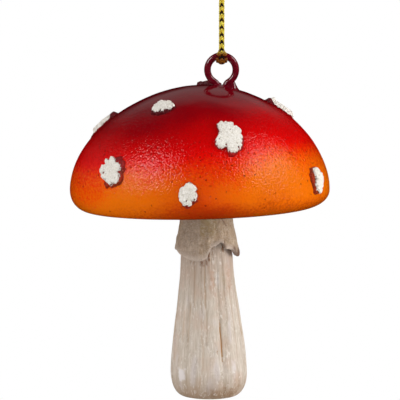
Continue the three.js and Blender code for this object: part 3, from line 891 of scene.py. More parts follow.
# %% Outlines of the warts
# at: degrees round the cap and up the dome. For the seven that the viewer sees best, white and bare
# are corners of the white dab and of the scab's bare side, in mm across and up the dome, and holes
# are chips in the dab with their radius. The others take a lobed outline from their size, and the
# middle and cover of their dab. scab, heap and slope are the thickness of the scab and of the dab
# and the width of the dab's edge, down_to is how low the white runs on the side, and lump is one
# more rise: its place, radius and height.
WARTS = {
    "wart_01": dict(
        at=(178, 39.5), scab=0.16, heap=0.85, slope=1.1, down_to=0.05, lump=(-0.7, 3.0, 1.4, 0.75),
        white=[(-2.4, -2.2), (-2.6, -1.0), (-2.6, 0.4), (-2.3, 1.6), (-1.2, 2.4), (-0.1, 2.2),
            (0.6, 1.2), (0.7, 0.0), (0.6, -1.2), (0.3, -2.2), (-0.5, -3.0), (-1.6, -3.0)],
        bare=[(-2.2, 2.2), (-1.6, 3.4), (-0.6, 3.9), (0.5, 3.6), (0.8, 2.5), (0.9, 1.4),
            (0.9, 0.0), (0.8, -1.6), (0.4, -2.8), (-0.5, -3.6)],
    ),
    "wart_02": dict(
        at=(-123.5, 55.5),
        white=[(-1.2, -2.0), (-1.8, -0.7), (-1.9, 0.2), (-1.8, 1.1), (-1.4, 1.7), (-0.4, 1.7),
            (0.3, 1.9), (1.0, 1.8), (1.7, 1.5), (1.6, 0.9), (2.7, 0.8), (2.9, 0.3), (2.8, -0.2),
            (2.5, -0.7), (2.2, -1.2), (1.7, -1.4), (1.2, -1.9), (0.5, -1.3), (0.3, -2.1),
            (-0.6, -2.2)],
        bare=[(2.5, -0.9), (1.9, -1.7), (1.2, -2.2), (0.4, -2.6), (-0.6, -2.5), (-1.4, -2.0)],
    ),
    "wart_03": dict(
        at=(-131.5, 15), holes=[(-2.2, -0.2, 0.36), (-1.2, -1.7, 0.3)],
        white=[(-1.5, 3.5), (-1.9, 2.5), (-2.9, 3.0), (-3.0, 2.5), (-2.4, 1.8), (-3.4, 1.5),
            (-3.6, 0.6), (-3.5, -0.2), (-2.8, -1.0), (-1.8, -1.6), (-0.7, -2.0), (0.6, -2.7),
            (1.2, -2.1), (2.0, -2.4), (2.3, -1.6), (2.5, -0.9), (2.2, -0.2), (1.5, 0.2),
            (2.3, 0.7), (1.7, 1.5), (0.9, 2.2), (0.2, 2.1), (0.0, 2.8), (-0.6, 3.1)],
        bare=[(-0.4, 3.4), (0.8, 3.3), (2.0, 2.7), (2.8, 1.5), (2.8, 0.2), (3.0, -1.2),
            (2.7, -1.9), (1.8, -2.6), (0.6, -3.1), (-0.8, -3.0), (-1.7, -2.4)],
    ),
    "wart_04": dict(
        at=(-94.5, 4.5),
        white=[(0.0, 2.6), (0.5, 2.4), (1.1, 2.0), (1.5, 1.5), (1.65, 1.0), (1.35, 0.75),
            (1.6, 0.4), (1.6, -0.2), (1.5, -0.9), (1.3, -1.1), (0.8, -1.1), (0.5, -1.2),
            (0.7, -1.8), (0.0, -2.1), (-0.7, -2.2), (-1.0, -1.9), (-1.5, -1.5), (-1.9, -1.2),
            (-2.1, -0.5), (-2.1, 0.0), (-2.0, 0.8), (-1.7, 1.5), (-1.0, 1.8), (-0.7, 2.4)],
        bare=[(1.75, 0.6), (1.8, -0.2), (1.65, -1.1), (1.1, -1.7), (0.8, -2.1), (0.0, -2.4),
            (-0.8, -2.45), (-1.3, -2.0)],
    ),
    "wart_05": dict(
        at=(-75, 36), holes=[(1.4, -2.9, 0.3)],
        white=[(-2.2, 3.4), (-1.2, 4.2), (-0.8, 3.7), (-0.4, 4.1), (1.1, 3.7), (1.4, 3.3),
            (1.2, 2.7), (1.9, 2.6), (2.6, 1.8), (2.8, 1.2), (2.4, 0.7), (2.7, 0.1), (2.5, -1.1),
            (2.1, -2.0), (2.3, -2.7), (1.8, -3.3), (1.1, -3.9), (0.3, -4.2), (-0.5, -3.9),
            (-0.9, -3.6), (-0.9, -2.6), (-1.6, -2.8), (-2.2, -3.1), (-2.8, -2.6), (-3.2, -1.9),
            (-3.2, -1.0), (-2.7, -0.1), (-2.1, 0.7), (-2.1, 1.6), (-2.1, 2.5)],
        bare=[(2.75, 1.0), (2.8, 0.0), (2.75, -1.2), (2.5, -2.4), (2.0, -3.5), (1.1, -4.2),
            (0.0, -4.4), (-0.8, -3.9)],
    ),
    "wart_06": dict(
        at=(3, 51.5), scab=0.18, heap=0.9, slope=1.1, down_to=0.05, lump=(0.2, 3.0, 1.2, 0.7),
        white=[(2.4, -2.6), (2.6, -1.0), (2.6, 0.6), (2.4, 2.0), (1.6, 3.1), (0.4, 3.2),
            (-0.4, 2.3), (-0.8, 1.0), (-0.8, -0.4), (-0.6, -2.0), (-0.1, -3.2), (0.8, -3.8),
            (1.8, -3.6)],
        bare=[(0.2, -4.0), (-0.4, -3.2), (-0.9, -2.0), (-1.1, -0.5), (-1.2, 1.0), (-1.0, 2.4),
            (-0.3, 3.4), (1.0, 3.6), (1.9, 3.2)],
    ),
    "wart_07": dict(
        at=(-28.5, 8.5), holes=[(0.3, 1.2, 0.2)],
        white=[(0.5, 3.1), (1.0, 2.6), (1.8, 1.8), (2.4, 1.0), (2.4, 0.1), (1.9, -0.8),
            (1.0, -1.8), (-0.1, -2.7), (-0.8, -2.0), (-1.3, -1.2), (-1.4, -0.4), (-1.3, 0.3),
            (-0.8, 0.8), (-1.2, 1.4), (-1.3, 1.9), (-0.9, 2.7), (-0.1, 3.0)],
        bare=[(-0.2, -2.9), (-1.2, -2.2), (-1.8, -1.1), (-2.1, -0.2), (-2.3, 0.5), (-2.1, 1.4),
            (-1.8, 2.2), (-1.1, 2.9), (-0.2, 3.2)],
    ),
    "wart_08": dict(
        at=(79, 75), size=(4.8, 4.6), lobes=4, turn=0, dab=(0.0, -0.9), cover=0.6, scab=1.15,
        jag=0.25,
    ),
    "wart_09": dict(at=(40, 31), size=(6.2, 7.0), lobes=5, turn=60, dab=(0.3, 0.2), cover=0.88),
    "wart_10": dict(at=(74, 11), size=(5.8, 6.4), lobes=4, turn=25, dab=(-0.3, 0.3), cover=0.88),
    "wart_11": dict(at=(92, 44), size=(5.4, 6.2), lobes=3, turn=90, dab=(0.2, 0.3), cover=0.9),
    "wart_12": dict(at=(122, 22), size=(6.4, 7.2), lobes=5, turn=40, dab=(-0.2, 0.3), cover=0.88),
    "wart_13": dict(at=(153, 6.5), size=(4.6, 5.8), lobes=4, turn=5, dab=(0.2, 0.3), cover=0.88),
    "wart_14": dict(at=(19, 7), size=(5.0, 6.0), lobes=4, turn=55, dab=(-0.2, 0.3), cover=0.9),
}
print(len(WARTS), "warts,", sum("white" in wart for wart in WARTS.values()), "with a drawn outline")

# %% Reach of a wart
RAGGED, BARE_RAGGED = 0.6, 0.22
rim = np.pad(spoke * 3.0, ((0, 0), (0, 1)))


def reach_of(points, closed=True):
    """How far an outline reaches along each spoke. An open one reaches nowhere else."""
    points = np.array(points)
    turn = np.arctan2(points[:, 1], points[:, 0])
    far = np.hypot(points[:, 0], points[:, 1])
    if closed:
        order = np.argsort(turn)
        return np.interp(blank_angle, turn[order], far[order], period=2 * math.pi)
    turn = np.unwrap(turn)[::-1]
    middle = (turn[0] + turn[-1]) / 2
    off = (blank_angle - middle + math.pi) % (2 * math.pi) - math.pi
    return np.interp(off, turn - middle, far[::-1], 0.0, 0.0)


def oval(wart, angles):
    half_wide, half_tall = np.array(wart["size"]) / 2
    return 1.0 / np.hypot(np.cos(angles) / half_wide, np.sin(angles) / half_tall)


def lobed(wart, number, angles):
    lobe = 1 + 0.06 * np.cos(wart["lobes"] * angles + math.radians(wart["turn"]))
    lobe += 0.07 * np.cos(2 * angles + 1.7 * number) + 0.06 * np.cos(3 * angles + 0.9 * number)
    lobe += 0.035 * np.cos(7 * angles + 2.3 * number)
    return lobe


def scab_reach(wart, number):
    """How far the scab reaches along each spoke, with its ragged edge."""
    if "white" in wart:
        bare = reach_of(wart["bare"], closed=False)
        bare *= 1 + BARE_RAGGED * clouds(rim, 1.1, 3.0 * number)
        reach = np.maximum(reach_of(wart["white"]), bare)
    else:
        reach = oval(wart, blank_angle) * lobed(wart, number, blank_angle)
    jag = clouds(rim, 0.7, 11.0 * number) * 0.24 + clouds(rim, 0.25, 5.0 * number) * 0.16
    return reach + wart.get("jag", RAGGED) * jag * smooth((blank_share - 0.55) / 0.4)


def dab_edge(wart, number, uv):
    """How far inside the edge of the white dab each corner lies."""
    if "white" in wart:
        return reach_of(wart["white"]) - np.hypot(uv[:, 0], uv[:, 1])
    shifted = uv - np.array(wart["dab"])
    angles = np.arctan2(shifted[:, 1], shifted[:, 0])
    reach = wart["cover"] * oval(wart, angles) * lobed(wart, number + 3, angles)
    return reach - np.hypot(shifted[:, 0], shifted[:, 1])


print("the first wart reaches", round(float(scab_reach(WARTS["wart_01"], 0).max()), 1), "mm")

# %% Lay the warts
# The usual thickness of scab and dab, width of the dab's edge and how low the white runs. Then the
# lengths, in mm, of what noise makes: tears in the dab's edge, chips in it, its crust and crumbs.
SCAB, DAB, DAB_SLOPE, DAB_DOWN_TO = 0.55, 0.45, 0.3, 0.4
TEAR, CHIP, CRUST, CRUMB = 0.55, 0.7, 0.8, 0.3
CRUST_HIGH, CRUMB_HIGH = 0.12, 0.06


def lay_wart(name, wart, number):
    take(blank)
    bpy.ops.object.duplicate(linked=False)
    piece = bpy.context.object
    piece.name = piece.data.name = name + "_scab"
    middle, across, upward = seat_of(*np.radians(wart["at"]))
    uv = spoke * (scab_reach(wart, number) * blank_share)[:, None]
    seat, normal = on_dome(middle + uv[:, :1] * across + uv[:, 1:] * upward)
    edge = dab_edge(wart, number, uv)
    torn = 0.08 - 0.32 * smooth((clouds(seat, TEAR, 6.0 * number, 2) - 0.08) / 0.3)
    chip = smooth((clouds(seat, CHIP, 9.0 * number) - 0.62) / 0.1)
    for u, v, size in wart.get("holes", ()):
        chip = np.maximum(chip, smooth((size - np.hypot(uv[:, 0] - u, uv[:, 1] - v)) / 0.15))
    white = np.clip((edge + torn + 0.2) / 0.4, 0.0, 1.0) * (1 - chip)
    rough = CRUST_HIGH * clouds(seat, CRUST, 2.0 * number, 2)
    rough += CRUMB_HIGH * clouds(seat, CRUMB, 4.0 * number)
    thick = wart.get("scab", SCAB) + rough + wart.get("heap", DAB) * smooth(
        (edge + torn + 0.1) / wart.get("slope", DAB_SLOPE)) * (1 - chip)
    if "lump" in wart:
        u, v, size, rise = wart["lump"]
        thick += rise * smooth((size - np.hypot(uv[:, 0] - u, uv[:, 1] - v)) / size * 1.4)
    height = np.where(blank_level > 0, blank_level * thick, blank_level)
    move_corners(piece, to_frame(askew(seat + normal * height[:, None])))
    mark(piece, "dab", white * smooth((blank_level - wart.get("down_to", DAB_DOWN_TO)) / 0.3))
    take(piece)
    bpy.ops.object.shade_smooth_by_angle(angle=math.radians(38))
    return piece


warts = [lay_wart(name, wart, i) for i, (name, wart) in enumerate(WARTS.items())]
bpy.data.objects.remove(blank)
print(len(warts), "warts,", sum(len(w.data.polygons) for w in warts), "faces")

# %% [markdown]
# ### The warts' paint
#
# The bare sides take the cap's own spray, turned to a deeper red and darkened towards maroon: the
# red is the scab's paint and the darkening is painted shade on the steep sides. So a wart belongs
# to the place where it sits. The dab is thick, chalky and full of pores. Its edge follows the mark
# on the corners, and the same crumbs that give its bump break that edge up. The warts are hidden
# from reflections: so close to the lacquer, each would show in it as a grey stripe.

# %% Wart paint
def wart_paint():
    finish, tree, shader = new_finish("wart_crust")
    lumps = grain(tree, 0.7 * MM)
    crumbs = grain(tree, 0.32 * MM, 3.0, roughness=0.65)
    pores = grain(tree, 0.45 * MM, 2.0, roughness=0.7)
    # The bare sides: the scab's deeper red, darkened towards maroon as painted shade on steep
    # sides.
    maroon = tint(tree, span(tree, axes_of(tree)["Z"], CROWN_Z - 10.0 * MM, CROWN_Z - 5.5 * MM),
                  rgb(150, 8, 10), rgb(86, 4, 18))
    bare = tint(tree, span(tree, lumps, 0.38, 0.6), rgb(70, 0, 10), maroon)
    side = tint(tree, 0.8, sprayed(tree), bare)
    chalk = tint(tree, span(tree, crumbs, 0.34, 0.56), rgb(212, 204, 190), rgb(246, 241, 233))
    white = layered(
        tree, chalk,
        (span(tree, grain(tree, 1.6 * MM, 1.0), 0.5, 0.75, 0.0, 0.5), rgb(232, 224, 208)),
        (span(tree, pores, 0.35, 0.25, 0.0, 0.55), rgb(150, 134, 116)),
    )
    worn = plus(tree, marked(tree, "dab"), span(tree, crumbs, 0.3, 0.7, -0.4, 0.4))
    cover = span(tree, worn, 0.36, 0.46)
    give(tree, shader, {
        "Base Color": tint(tree, cover, side, white), "Specular IOR Level": 0.4,
        "Roughness": span(tree, cover, 0.0, 1.0, 0.34, 0.85),
    })
    height = plus(tree, plus(tree, crumbs, lumps), times(tree, cover, 0.6))
    bump(tree, shader, height, 0.16 * MM, 0.9)
    return finish


crust = wart_paint()
for wart in warts:
    dress(wart, "mushroom", "wart_crust", crust, wart.name[:7])
    wart.visible_glossy = False

# %% [markdown]
# ## The wire eye
#
# The eye is one wire: a leg, a bend outwards, most of a circle, a bend back and the other leg. A
# torus on two pegs would lack the bends. So a circle of the wire's thickness is extruded up the leg
# and spun about the middle of each bend in turn, which is how the wire itself is bent round a peg.
# It was dipped in the same maroon paint as the crown.

# %% Eye
WIRE_R, RING_R, BEND_R, LEG_X, LEG_DOWN = 0.75, 3.15, 1.6, 0.85, 10.7
WIRE_SIDES, STRAIGHT_STEPS, BEND_STEPS, RING_STEPS = 24, 6, 12, 72
ring_z = eye_high.z - (RING_R + WIRE_R) * MM
bend_x = LEG_X + BEND_R
bend_down = math.sqrt((RING_R + BEND_R) ** 2 - bend_x ** 2)
touch = math.atan2(bend_down, bend_x)
leg_step = (LEG_DOWN - bend_down) / STRAIGHT_STEPS * MM


def straight(step):
    for _ in range(STRAIGHT_STEPS):
        bpy.ops.mesh.extrude_edges_move(TRANSFORM_OT_translate={"value": (0, 0, step)})


def spin(turn, steps, x, down):
    bpy.ops.mesh.spin(
        steps=steps, angle=-turn, center=(EYE_X + x * MM, 0, ring_z - down * MM), axis=(0, 1, 0)
    )


bpy.ops.object.select_all(action="DESELECT")
bpy.ops.mesh.primitive_circle_add(
    vertices=WIRE_SIDES, radius=WIRE_R * MM, fill_type="NGON",
    location=(EYE_X + LEG_X * MM, 0, ring_z - LEG_DOWN * MM),
)
eye = bpy.context.object
eye.name = eye.data.name = "wire_eye"
settle(eye)
bpy.ops.object.mode_set(mode="EDIT")
bpy.ops.mesh.select_all(action="SELECT")
bpy.ops.mesh.region_to_loop()
straight(leg_step)
spin(touch, BEND_STEPS, bend_x, bend_down)
spin(-(math.pi + 2 * touch), RING_STEPS, 0.0, 0.0)
spin(touch, BEND_STEPS, -bend_x, bend_down)
straight(-leg_step)
bpy.ops.mesh.edge_face_add()
bpy.ops.mesh.select_all(action="SELECT")
bpy.ops.mesh.remove_doubles(threshold=1e-7)
bpy.ops.mesh.normals_make_consistent(inside=False)
bpy.ops.object.mode_set(mode="OBJECT")
bpy.ops.object.shade_smooth_by_angle(angle=math.radians(50))
p = corners(eye)
print("eye from", np.round(p.min(0) / MM, 2), "to", np.round(p.max(0) / MM, 2))

# %% Eye paint
def eye_paint():
    finish, tree, shader = new_finish("eye_enamel")
    give(tree, shader, {
        "Base Color": tint(tree, grain(tree, 1.4 * MM, 3.0), rgb(76, 2, 15), rgb(124, 4, 29)),
        "Roughness": span(tree, grain(tree, 0.8 * MM), 0.3, 0.7, 0.14, 0.24),
        "Specular IOR Level": 0.6, "Coat Weight": 1.0, "Coat Roughness": 0.06,
    })
    bump(tree, shader, grain(tree, 0.9 * MM), 0.06 * MM, 0.5)
    return finish


enamel = eye_paint()
dress(eye, "mushroom", "eye_paint", enamel, "hanging_eye")

# %% [markdown]
# ### Glue and paint round the legs
#
# The eye is set in glue, and the paint has filled the corner: a low glossy mound that climbs the
# right leg further than the left. It is a turned disc whose corners are lifted by a list of heights
# along the wire, because a smooth fillet from a modifier would climb both legs alike.

# %% Fillet
FILLET_RIGHT, FILLET_WIDE, FILLET_DEEP, FILLET_UNDER = 0.75, 3.55, 2.1, 0.5
# Height of the paint along the wire, in mm to the right of the eye's middle. It is highest in the
# corner under the right bend.
WEB = [
    (-2.6, 0.0), (-1.9, 0.15), (-1.4, 0.45), (-0.9, 0.50), (0.0, 0.15), (0.8, 0.45), (1.5, 1.0),
    (2.2, 1.5), (2.7, 1.8), (2.95, 1.5), (3.2, 1.0), (3.6, 0.40), (4.0, 0.08), (4.4, 0.0),
]


def dome_height(x, y):
    z = np.full_like(x, DOME_H)
    for _ in range(12):
        r = np.hypot(x - CROWN_SHIFT * (z / DOME_H) ** 2, y)
        z = DOME_H * np.maximum(1 - (r / CAP_R) ** FULL, 0.0) ** (1 / FULL)
    return z


disc = [(s, 1.0) for s in np.linspace(0.04, 1.0, 36)] + [(1.0, 0.0), (0.5, 0.0)]
fillet = turned("eye_fillet_mound", disc, 128)
p = corners(fillet)
share, angle = np.hypot(p[:, 0], p[:, 1]), np.arctan2(p[:, 1], p[:, 0])
edge = 1.0 + 0.07 * np.cos(3 * angle + 0.8) + 0.05 * np.cos(5 * angle - 0.4)
along = FILLET_RIGHT + FILLET_WIDE * share * edge * np.cos(angle)
x = (EYE_X - CAP_X) / MM + along
y = FILLET_DEEP * share * edge * np.sin(angle)
ridge = np.interp(along, *zip(*WEB))
mound = ridge * np.exp(-(np.abs(y) / 0.85) ** 2.2) + 0.22 * smooth(1.1 - share) - 0.25 * share ** 5
mound += 0.05 * clouds(np.stack([x, y, y * 0], axis=1), 0.6, 3.0)
z = dome_height(x, y) + np.where(p[:, 2] > 0.5, mound, -FILLET_UNDER)
move_corners(fillet, to_frame(np.stack([x, y, z], axis=1)))
dress(fillet, "mushroom", "fillet_paint", enamel, "eye_fillet")

# %% [markdown]
# ## The gills
#
# A plate of gills closes the underside. Long gills run from the skirt to the lip with short ones
# between them, as in a real toadstool. Single blades could be arrayed round the stem, but a casting
# has them in one with their plate. So the plate is a turned ring whose lower side is folded into
# blades in code. Its paint is cream, darkened brown between the blades as painted shade.

# %% Gills
GILLS, CORNERS_TO_A_GILL, GILL_DEEP = 72, 6, 0.95
GILL_TOP, GILL_VALLEY, GILL_EDGE, GILL_BORE = -1.8, -2.9, 23.1, 5.0
rings = [(r, GILL_VALLEY) for r in np.linspace(GILL_BORE, GILL_EDGE, 30)]
rings += [(GILL_EDGE, GILL_TOP), (GILL_BORE, GILL_TOP), (GILL_BORE, GILL_VALLEY)]
gills = turned("gill_ring", metres(rings), GILLS * CORNERS_TO_A_GILL, ring_shape=True)
p = corners(gills) / MM
r, angle = np.hypot(p[:, 0], p[:, 1]), np.arctan2(p[:, 1], p[:, 0])
share = (r - GILL_BORE) / (GILL_EDGE - GILL_BORE)
wander = 0.05 * np.sin(5 * angle + 3 * share) + 0.02 * np.sin(23 * angle + 7 * share)
phase = GILLS * (angle + wander * 0.35) / (2 * math.pi)
keen = 1.0 - np.abs((phase % 1.0) - 0.5) * 2.0
short = (np.floor(phase) % 2 == 0) * smooth((0.55 - share) / 0.15)
ends = smooth((share - 0.05) / 0.12), smooth((0.985 - share) / 0.05)
depth = GILL_DEEP * smooth(keen * 1.25) * ends[0] * ends[1]
blade = np.where(p[:, 2] < GILL_VALLEY + 0.01, depth * (1 - short), 0.0)
p[:, 2] -= blade
p[:, 0] += STEM_SHIFT * (1 - smooth(share))
move_corners(gills, to_frame(askew(p)))
mark(gills, "ridge", blade)
print("gills:", GILLS, "blades, the deepest", round(float(blade.max()), 2), "mm")

# %% Gill paint
def gill_paint():
    finish, tree, shader = new_finish("gill_cream")
    # Cream on the blades, and brown in the valleys between them painted as shade.
    cream = tint(tree, span(tree, marked(tree, "ridge"), 0.0, 0.9),
                 rgb(128, 100, 74), rgb(214, 198, 174))
    stain = span(tree, grain(tree, 3.0 * MM, 3.0), 0.4, 0.7, 0.0, 0.5)
    give(tree, shader, {"Base Color": tint(tree, stain, cream, rgb(178, 148, 118)),
                        "Roughness": 0.75})
    bump(tree, shader, grain(tree, 0.4 * MM, 3.0), 0.08 * MM, 0.6)
    return finish


dress(gills, "mushroom", "gill_cream", gill_paint(), "gill_plate")

# %% [markdown]
# ## The stem
#
# The stem is a fluted casting: a neck under the cap, a slim waist and a bulb that rounds under to a
# flat foot. A tenon on top goes into the cap's socket. It is turned from an outline of a few named
# sizes, so that the waist or the bulb can be changed alone.

# %% Stem
FOOT, BULB_UP, WAIST, NECK = -46.5, 5.6, -16.0, -8.5
FOOT_R, BULB_R, WAIST_R, NECK_R, TENON_R = 5.6, 8.5, 5.75, 4.7, 3.4
SHOULDER, TENON_TOP = -1.8, 4.2
STEM_LEAN = 0.55


def stem_radius(z):
    bulb = FOOT + BULB_UP
    neck = NECK_R + (WAIST_R - NECK_R) * smooth((NECK - z) / (NECK - WAIST))
    t = np.clip((WAIST - z) / (WAIST - bulb), 0.0, 1.0)
    body = WAIST_R + (BULB_R - WAIST_R) * (0.45 * t + 0.55 * smooth(t))
    under = np.clip((bulb - z) / BULB_UP, 0.0, 1.0)
    foot = FOOT_R + (BULB_R - FOOT_R) * np.sqrt(1 - under ** 2.4)
    return np.where(z > WAIST, neck, np.where(z > bulb, body, foot))


def stem_lean(z):
    return STEM_LEAN * smooth((NECK - z) / (NECK - FOOT))


heights = [FOOT + BULB_UP * (1 - math.cos(a)) for a in np.linspace(0.0, math.pi / 2, 22)]
heights += list(np.linspace(FOOT + BULB_UP, NECK, 140)[1:]) + [-6.0, -4.0, -2.2, SHOULDER]
rings = [(r, FOOT) for r in (1.0, 2.5, 4.0, 5.0)]
rings += [(float(stem_radius(np.array(z))), z) for z in heights]
rings += [(TENON_R + 0.1, SHOULDER), (TENON_R, -1.7), (TENON_R, 4.1)]
rings += [(TENON_R - 0.1, TENON_TOP), (1.0, TENON_TOP)]
stem = turned("stem_casting", metres(rings), 256)
print("stem:", len(stem.data.polygons), "faces")

# %% [markdown]
# ### Grooves, cracks and spots
#
# Fine grooves and a few deep cracks run down the stem like the fibres of a real one, with flakes
# and stains between them, and a shadow painted on the stem just under the skirt's hem. Noise
# stretched along the stem gives the grooves. The cracks and spots that the eye picks out are listed
# one by one, so that they lie where the picture has them. All that is deep enough to feel is real
# shape, and each corner keeps marks that the paint reads.

# %% Grooves and cracks
# Each line: width and depth in mm, how brown it is, then places on it: degrees to the right of the
# front, and mm below the widest ring.
LINES = [
    (0.26, 0.26, 1.0, [(21, 28.6), (22, 33.0), (22, 37.8)]),
    (0.28, 0.26, 0.9, [(14, 35.2), (15, 36.2)]),
    (0.3, 0.17, 0.3, [(-13, 15.0), (-11, 24.0), (-11, 31.0), (-8, 35.4), (-10, 39.9), (-16, 44.4)]),
    (0.3, 0.17, 0.5, [(-5, 15.0), (-4, 26.0)]),
    (0.28, 0.15, 0.3, [(-2, 26.5), (-3, 34.0)]),
    (0.26, 0.24, 0.3, [(-36, 24.5), (-37, 34.8)]),
    (0.25, 0.22, 0.3, [(-47, 26.5), (-47, 33.6)]),
    (0.3, 0.16, 0.3, [(-29, 15.0), (-27, 27.0)]),
    (0.3, 0.14, 0.25, [(36, 15.0), (37, 29.0)]),
    (0.3, 0.24, 0.35, [(52, 20.0), (53, 36.0)]),
    (0.4, 0.22, 0.6, [(78, 18.0), (80, 33.0)]),
    (0.45, 0.26, 0.8, [(106, 24.0), (104, 38.0)]),
    (0.4, 0.2, 0.5, [(128, 15.0), (131, 29.0)]),
    (0.45, 0.28, 0.9, [(152, 29.0), (150, 41.0)]),
    (0.45, 0.22, 0.5, [(177, 15.0), (174, 31.0), (180, 43.0)]),
    (0.4, 0.22, 0.6, [(-158, 22.0), (-160, 36.0)]),
    (0.45, 0.26, 0.8, [(-134, 16.0), (-131, 30.0)]),
    (0.4, 0.22, 0.6, [(-110, 27.0), (-112, 42.0)]),
    (0.4, 0.18, 0.5, [(-84, 17.0), (-82, 34.0)]),
]
ARC_R = 7.0
FIBRE, FINE_FIBRE = (1.0, 1.0, 45.0), (0.36, 0.36, 26.0)
p = corners(stem) / MM
angle = np.degrees(np.arctan2(p[:, 0], -p[:, 1]))
down = -p[:, 2]
round_place = np.stack([np.sin(np.radians(angle)) * ARC_R,
                        -np.cos(np.radians(angle)) * ARC_R, p[:, 2]], axis=1)


def degrees_from(where):
    return (angle - where + 180) % 360 - 180


# The hollows of the noise are the grooves. A line is widest in its middle and runs out at its ends.
fibre = clouds(round_place, FIBRE, 1.0, 2)
fine = clouds(round_place, FINE_FIBRE, 4.0)
groove = smooth((-fibre - 0.05) / 0.45) * 0.7 + smooth((-fine - 0.05) / 0.5) * 0.4
sunk, brown = np.zeros(len(p)), np.zeros(len(p))
for width, deep, tone, places in LINES:
    drops = [d for _, d in places]
    middle = np.interp(down, drops, [a for a, _ in places])
    middle = middle + 0.25 * np.sin(down * 1.7 + places[0][0])
    off = np.abs(degrees_from(middle)) * math.pi / 180 * ARC_R
    ends = smooth((down - drops[0] + 0.6) / 2.2) * smooth((drops[-1] + 0.6 - down) / 2.2)
    line = np.clip(1 - off / (width * (0.35 + 0.65 * ends)), 0, 1) * smooth(ends / 0.3)
    sunk = np.maximum(sunk, deep * line)
    brown = np.maximum(brown, tone * smooth(line * 1.6))
print("grooved:", int((groove > 0.3).sum()), "corners low,", int((brown > 0.3).sum()), "in cracks")

# %% Spots on the stem
SPOT_R = 7.5


def patch(where, drop, wide, tall, soft):
    """A ragged spot: degrees right of the front, mm down, half sizes in mm, soft edge's share."""
    across = degrees_from(where) * math.pi / 180 * SPOT_R / wide
    reach = np.maximum(np.abs(across), np.abs(down - drop) / tall)
    ragged = reach + 0.5 * clouds(round_place, 0.9, where, 2)
    return smooth((1.0 - ragged) / soft)


def spots(*rows):
    """Several spots, each with its strength before the values of a patch."""
    return np.maximum.reduce([strength * patch(*row) for strength, *row in rows])


flake = patch(-45, 40.8, 0.95, 1.45, 0.25)
wrinkled = patch(15, 41.6, 1.9, 1.7, 0.5)
pale = np.maximum(flake, spots(
    (0.5, 42, 39.0, 0.8, 1.6, 0.6), (0.6, 115, 36.0, 0.9, 1.6, 0.5),
    (0.7, -150, 40.0, 1.0, 1.5, 0.4), (0.55, 23, 19.8, 0.6, 1.9, 0.6)))
dirt = spots((1.0, 28, 46.0, 4.6, 2.6, 0.7), (0.7, 160, 45.5, 5.0, 2.2, 0.7),
             (0.6, -110, 45.5, 4.0, 1.8, 0.7))
dirt *= smooth((np.hypot(p[:, 0], p[:, 1]) - 4.0) / 1.4)
# Painted shadow of the skirt's hem on the stem, just under it, and in the slit on the right.
smudge = spots(
    (1.0, -11, 15.9, 0.9, 0.9, 0.9), (0.7, -34, 15.9, 0.9, 0.5, 0.9),
    (1.0, 5, 14.2, 0.35, 1.4, 0.6), (0.8, -1, 15.7, 0.4, 0.9, 0.7),
    (0.6, 13.5, 13.8, 0.3, 2.0, 0.6), (1.0, 39.5, 12.6, 0.45, 1.2, 0.5),
    (0.6, 100, 14.5, 0.8, 1.6, 0.6), (0.6, -140, 14.8, 0.9, 1.5, 0.6),
    (0.6, 165, 14.6, 0.7, 1.4, 0.6))
blush = spots((1.0, 10, 19.8, 1.2, 4.0, 0.9), (1.0, 52, 19.5, 2.6, 5.0, 1.2))
print("spotted:", int((pale > 0.3).sum()), "corners pale,", int((smudge > 0.3).sum()), "in_hem_shadow")

# %% Move the stem's corners
FLUTE, GROOVE_DEEP, LUMP, PROUD, WRINKLE, FLAKE = 0.09, 0.17, 0.10, 0.05, 0.12, 0.14
swell = smooth((NECK - p[:, 2]) / 3.0) * smooth((p[:, 2] - FOOT) / 2.0)
flute = np.cos(8 * np.radians(angle - 90) + 0.6) + 0.7 * np.cos(13 * np.radians(angle - 90) - 0.9)
lump = clouds(round_place, (3.0, 3.0, 5.0), 9.0)
ripple = np.sin(down * 9.0 + 1.5 * np.sin(np.radians(angle) * 6))
move = swell * (FLUTE * flute - GROOVE_DEEP * groove - sunk + LUMP * lump + PROUD
                + WRINKLE * ripple * wrinkled)
move += FLAKE * flake
scale = 1 + move / np.maximum(np.hypot(p[:, 0], p[:, 1]), 1.0)
p[:, 0] = p[:, 0] * scale + STEM_SHIFT + stem_lean(p[:, 2])
p[:, 1] *= scale
move_corners(stem, to_frame(p))
stem_marks = {"groove": groove * swell, "crack": brown * swell, "pale": pale, "dirt": dirt,
              "smudge": smudge, "blush": blush}
for name, values in stem_marks.items():
    mark(stem, name, np.clip(values, 0, 1))
print("stem moved by", round(float(move.min()), 2), "to", round(float(move.max()), 2), "mm")

# %% [markdown]
# ### The stem's paint
#
# The stem was painted brown, then brushed with cream almost dry, so the ridges are pale and the
# grooves stay brown. One colour with a strong bump would look like plastic. So it is built up in
# coats: streaks, tints of pink, olive and lilac, the brown of grooves and cracks, dirt, painted
# shade towards the skirt above, a painted shadow just under the skirt's hem, and last the thin pale
# ridges that a dry brush leaves, each with a dark line beside it painted as its shadow.

# %% Stem paint
def off_level(tree, value, level):
    return calc(tree, "ABSOLUTE", minus(tree, value, level))


def thin_line(tree, value, level, width):
    """1 along the line where a value passes the level, 0 away from it."""
    return span(tree, off_level(tree, value, level), 0.0, width, 1.0, 0.0)


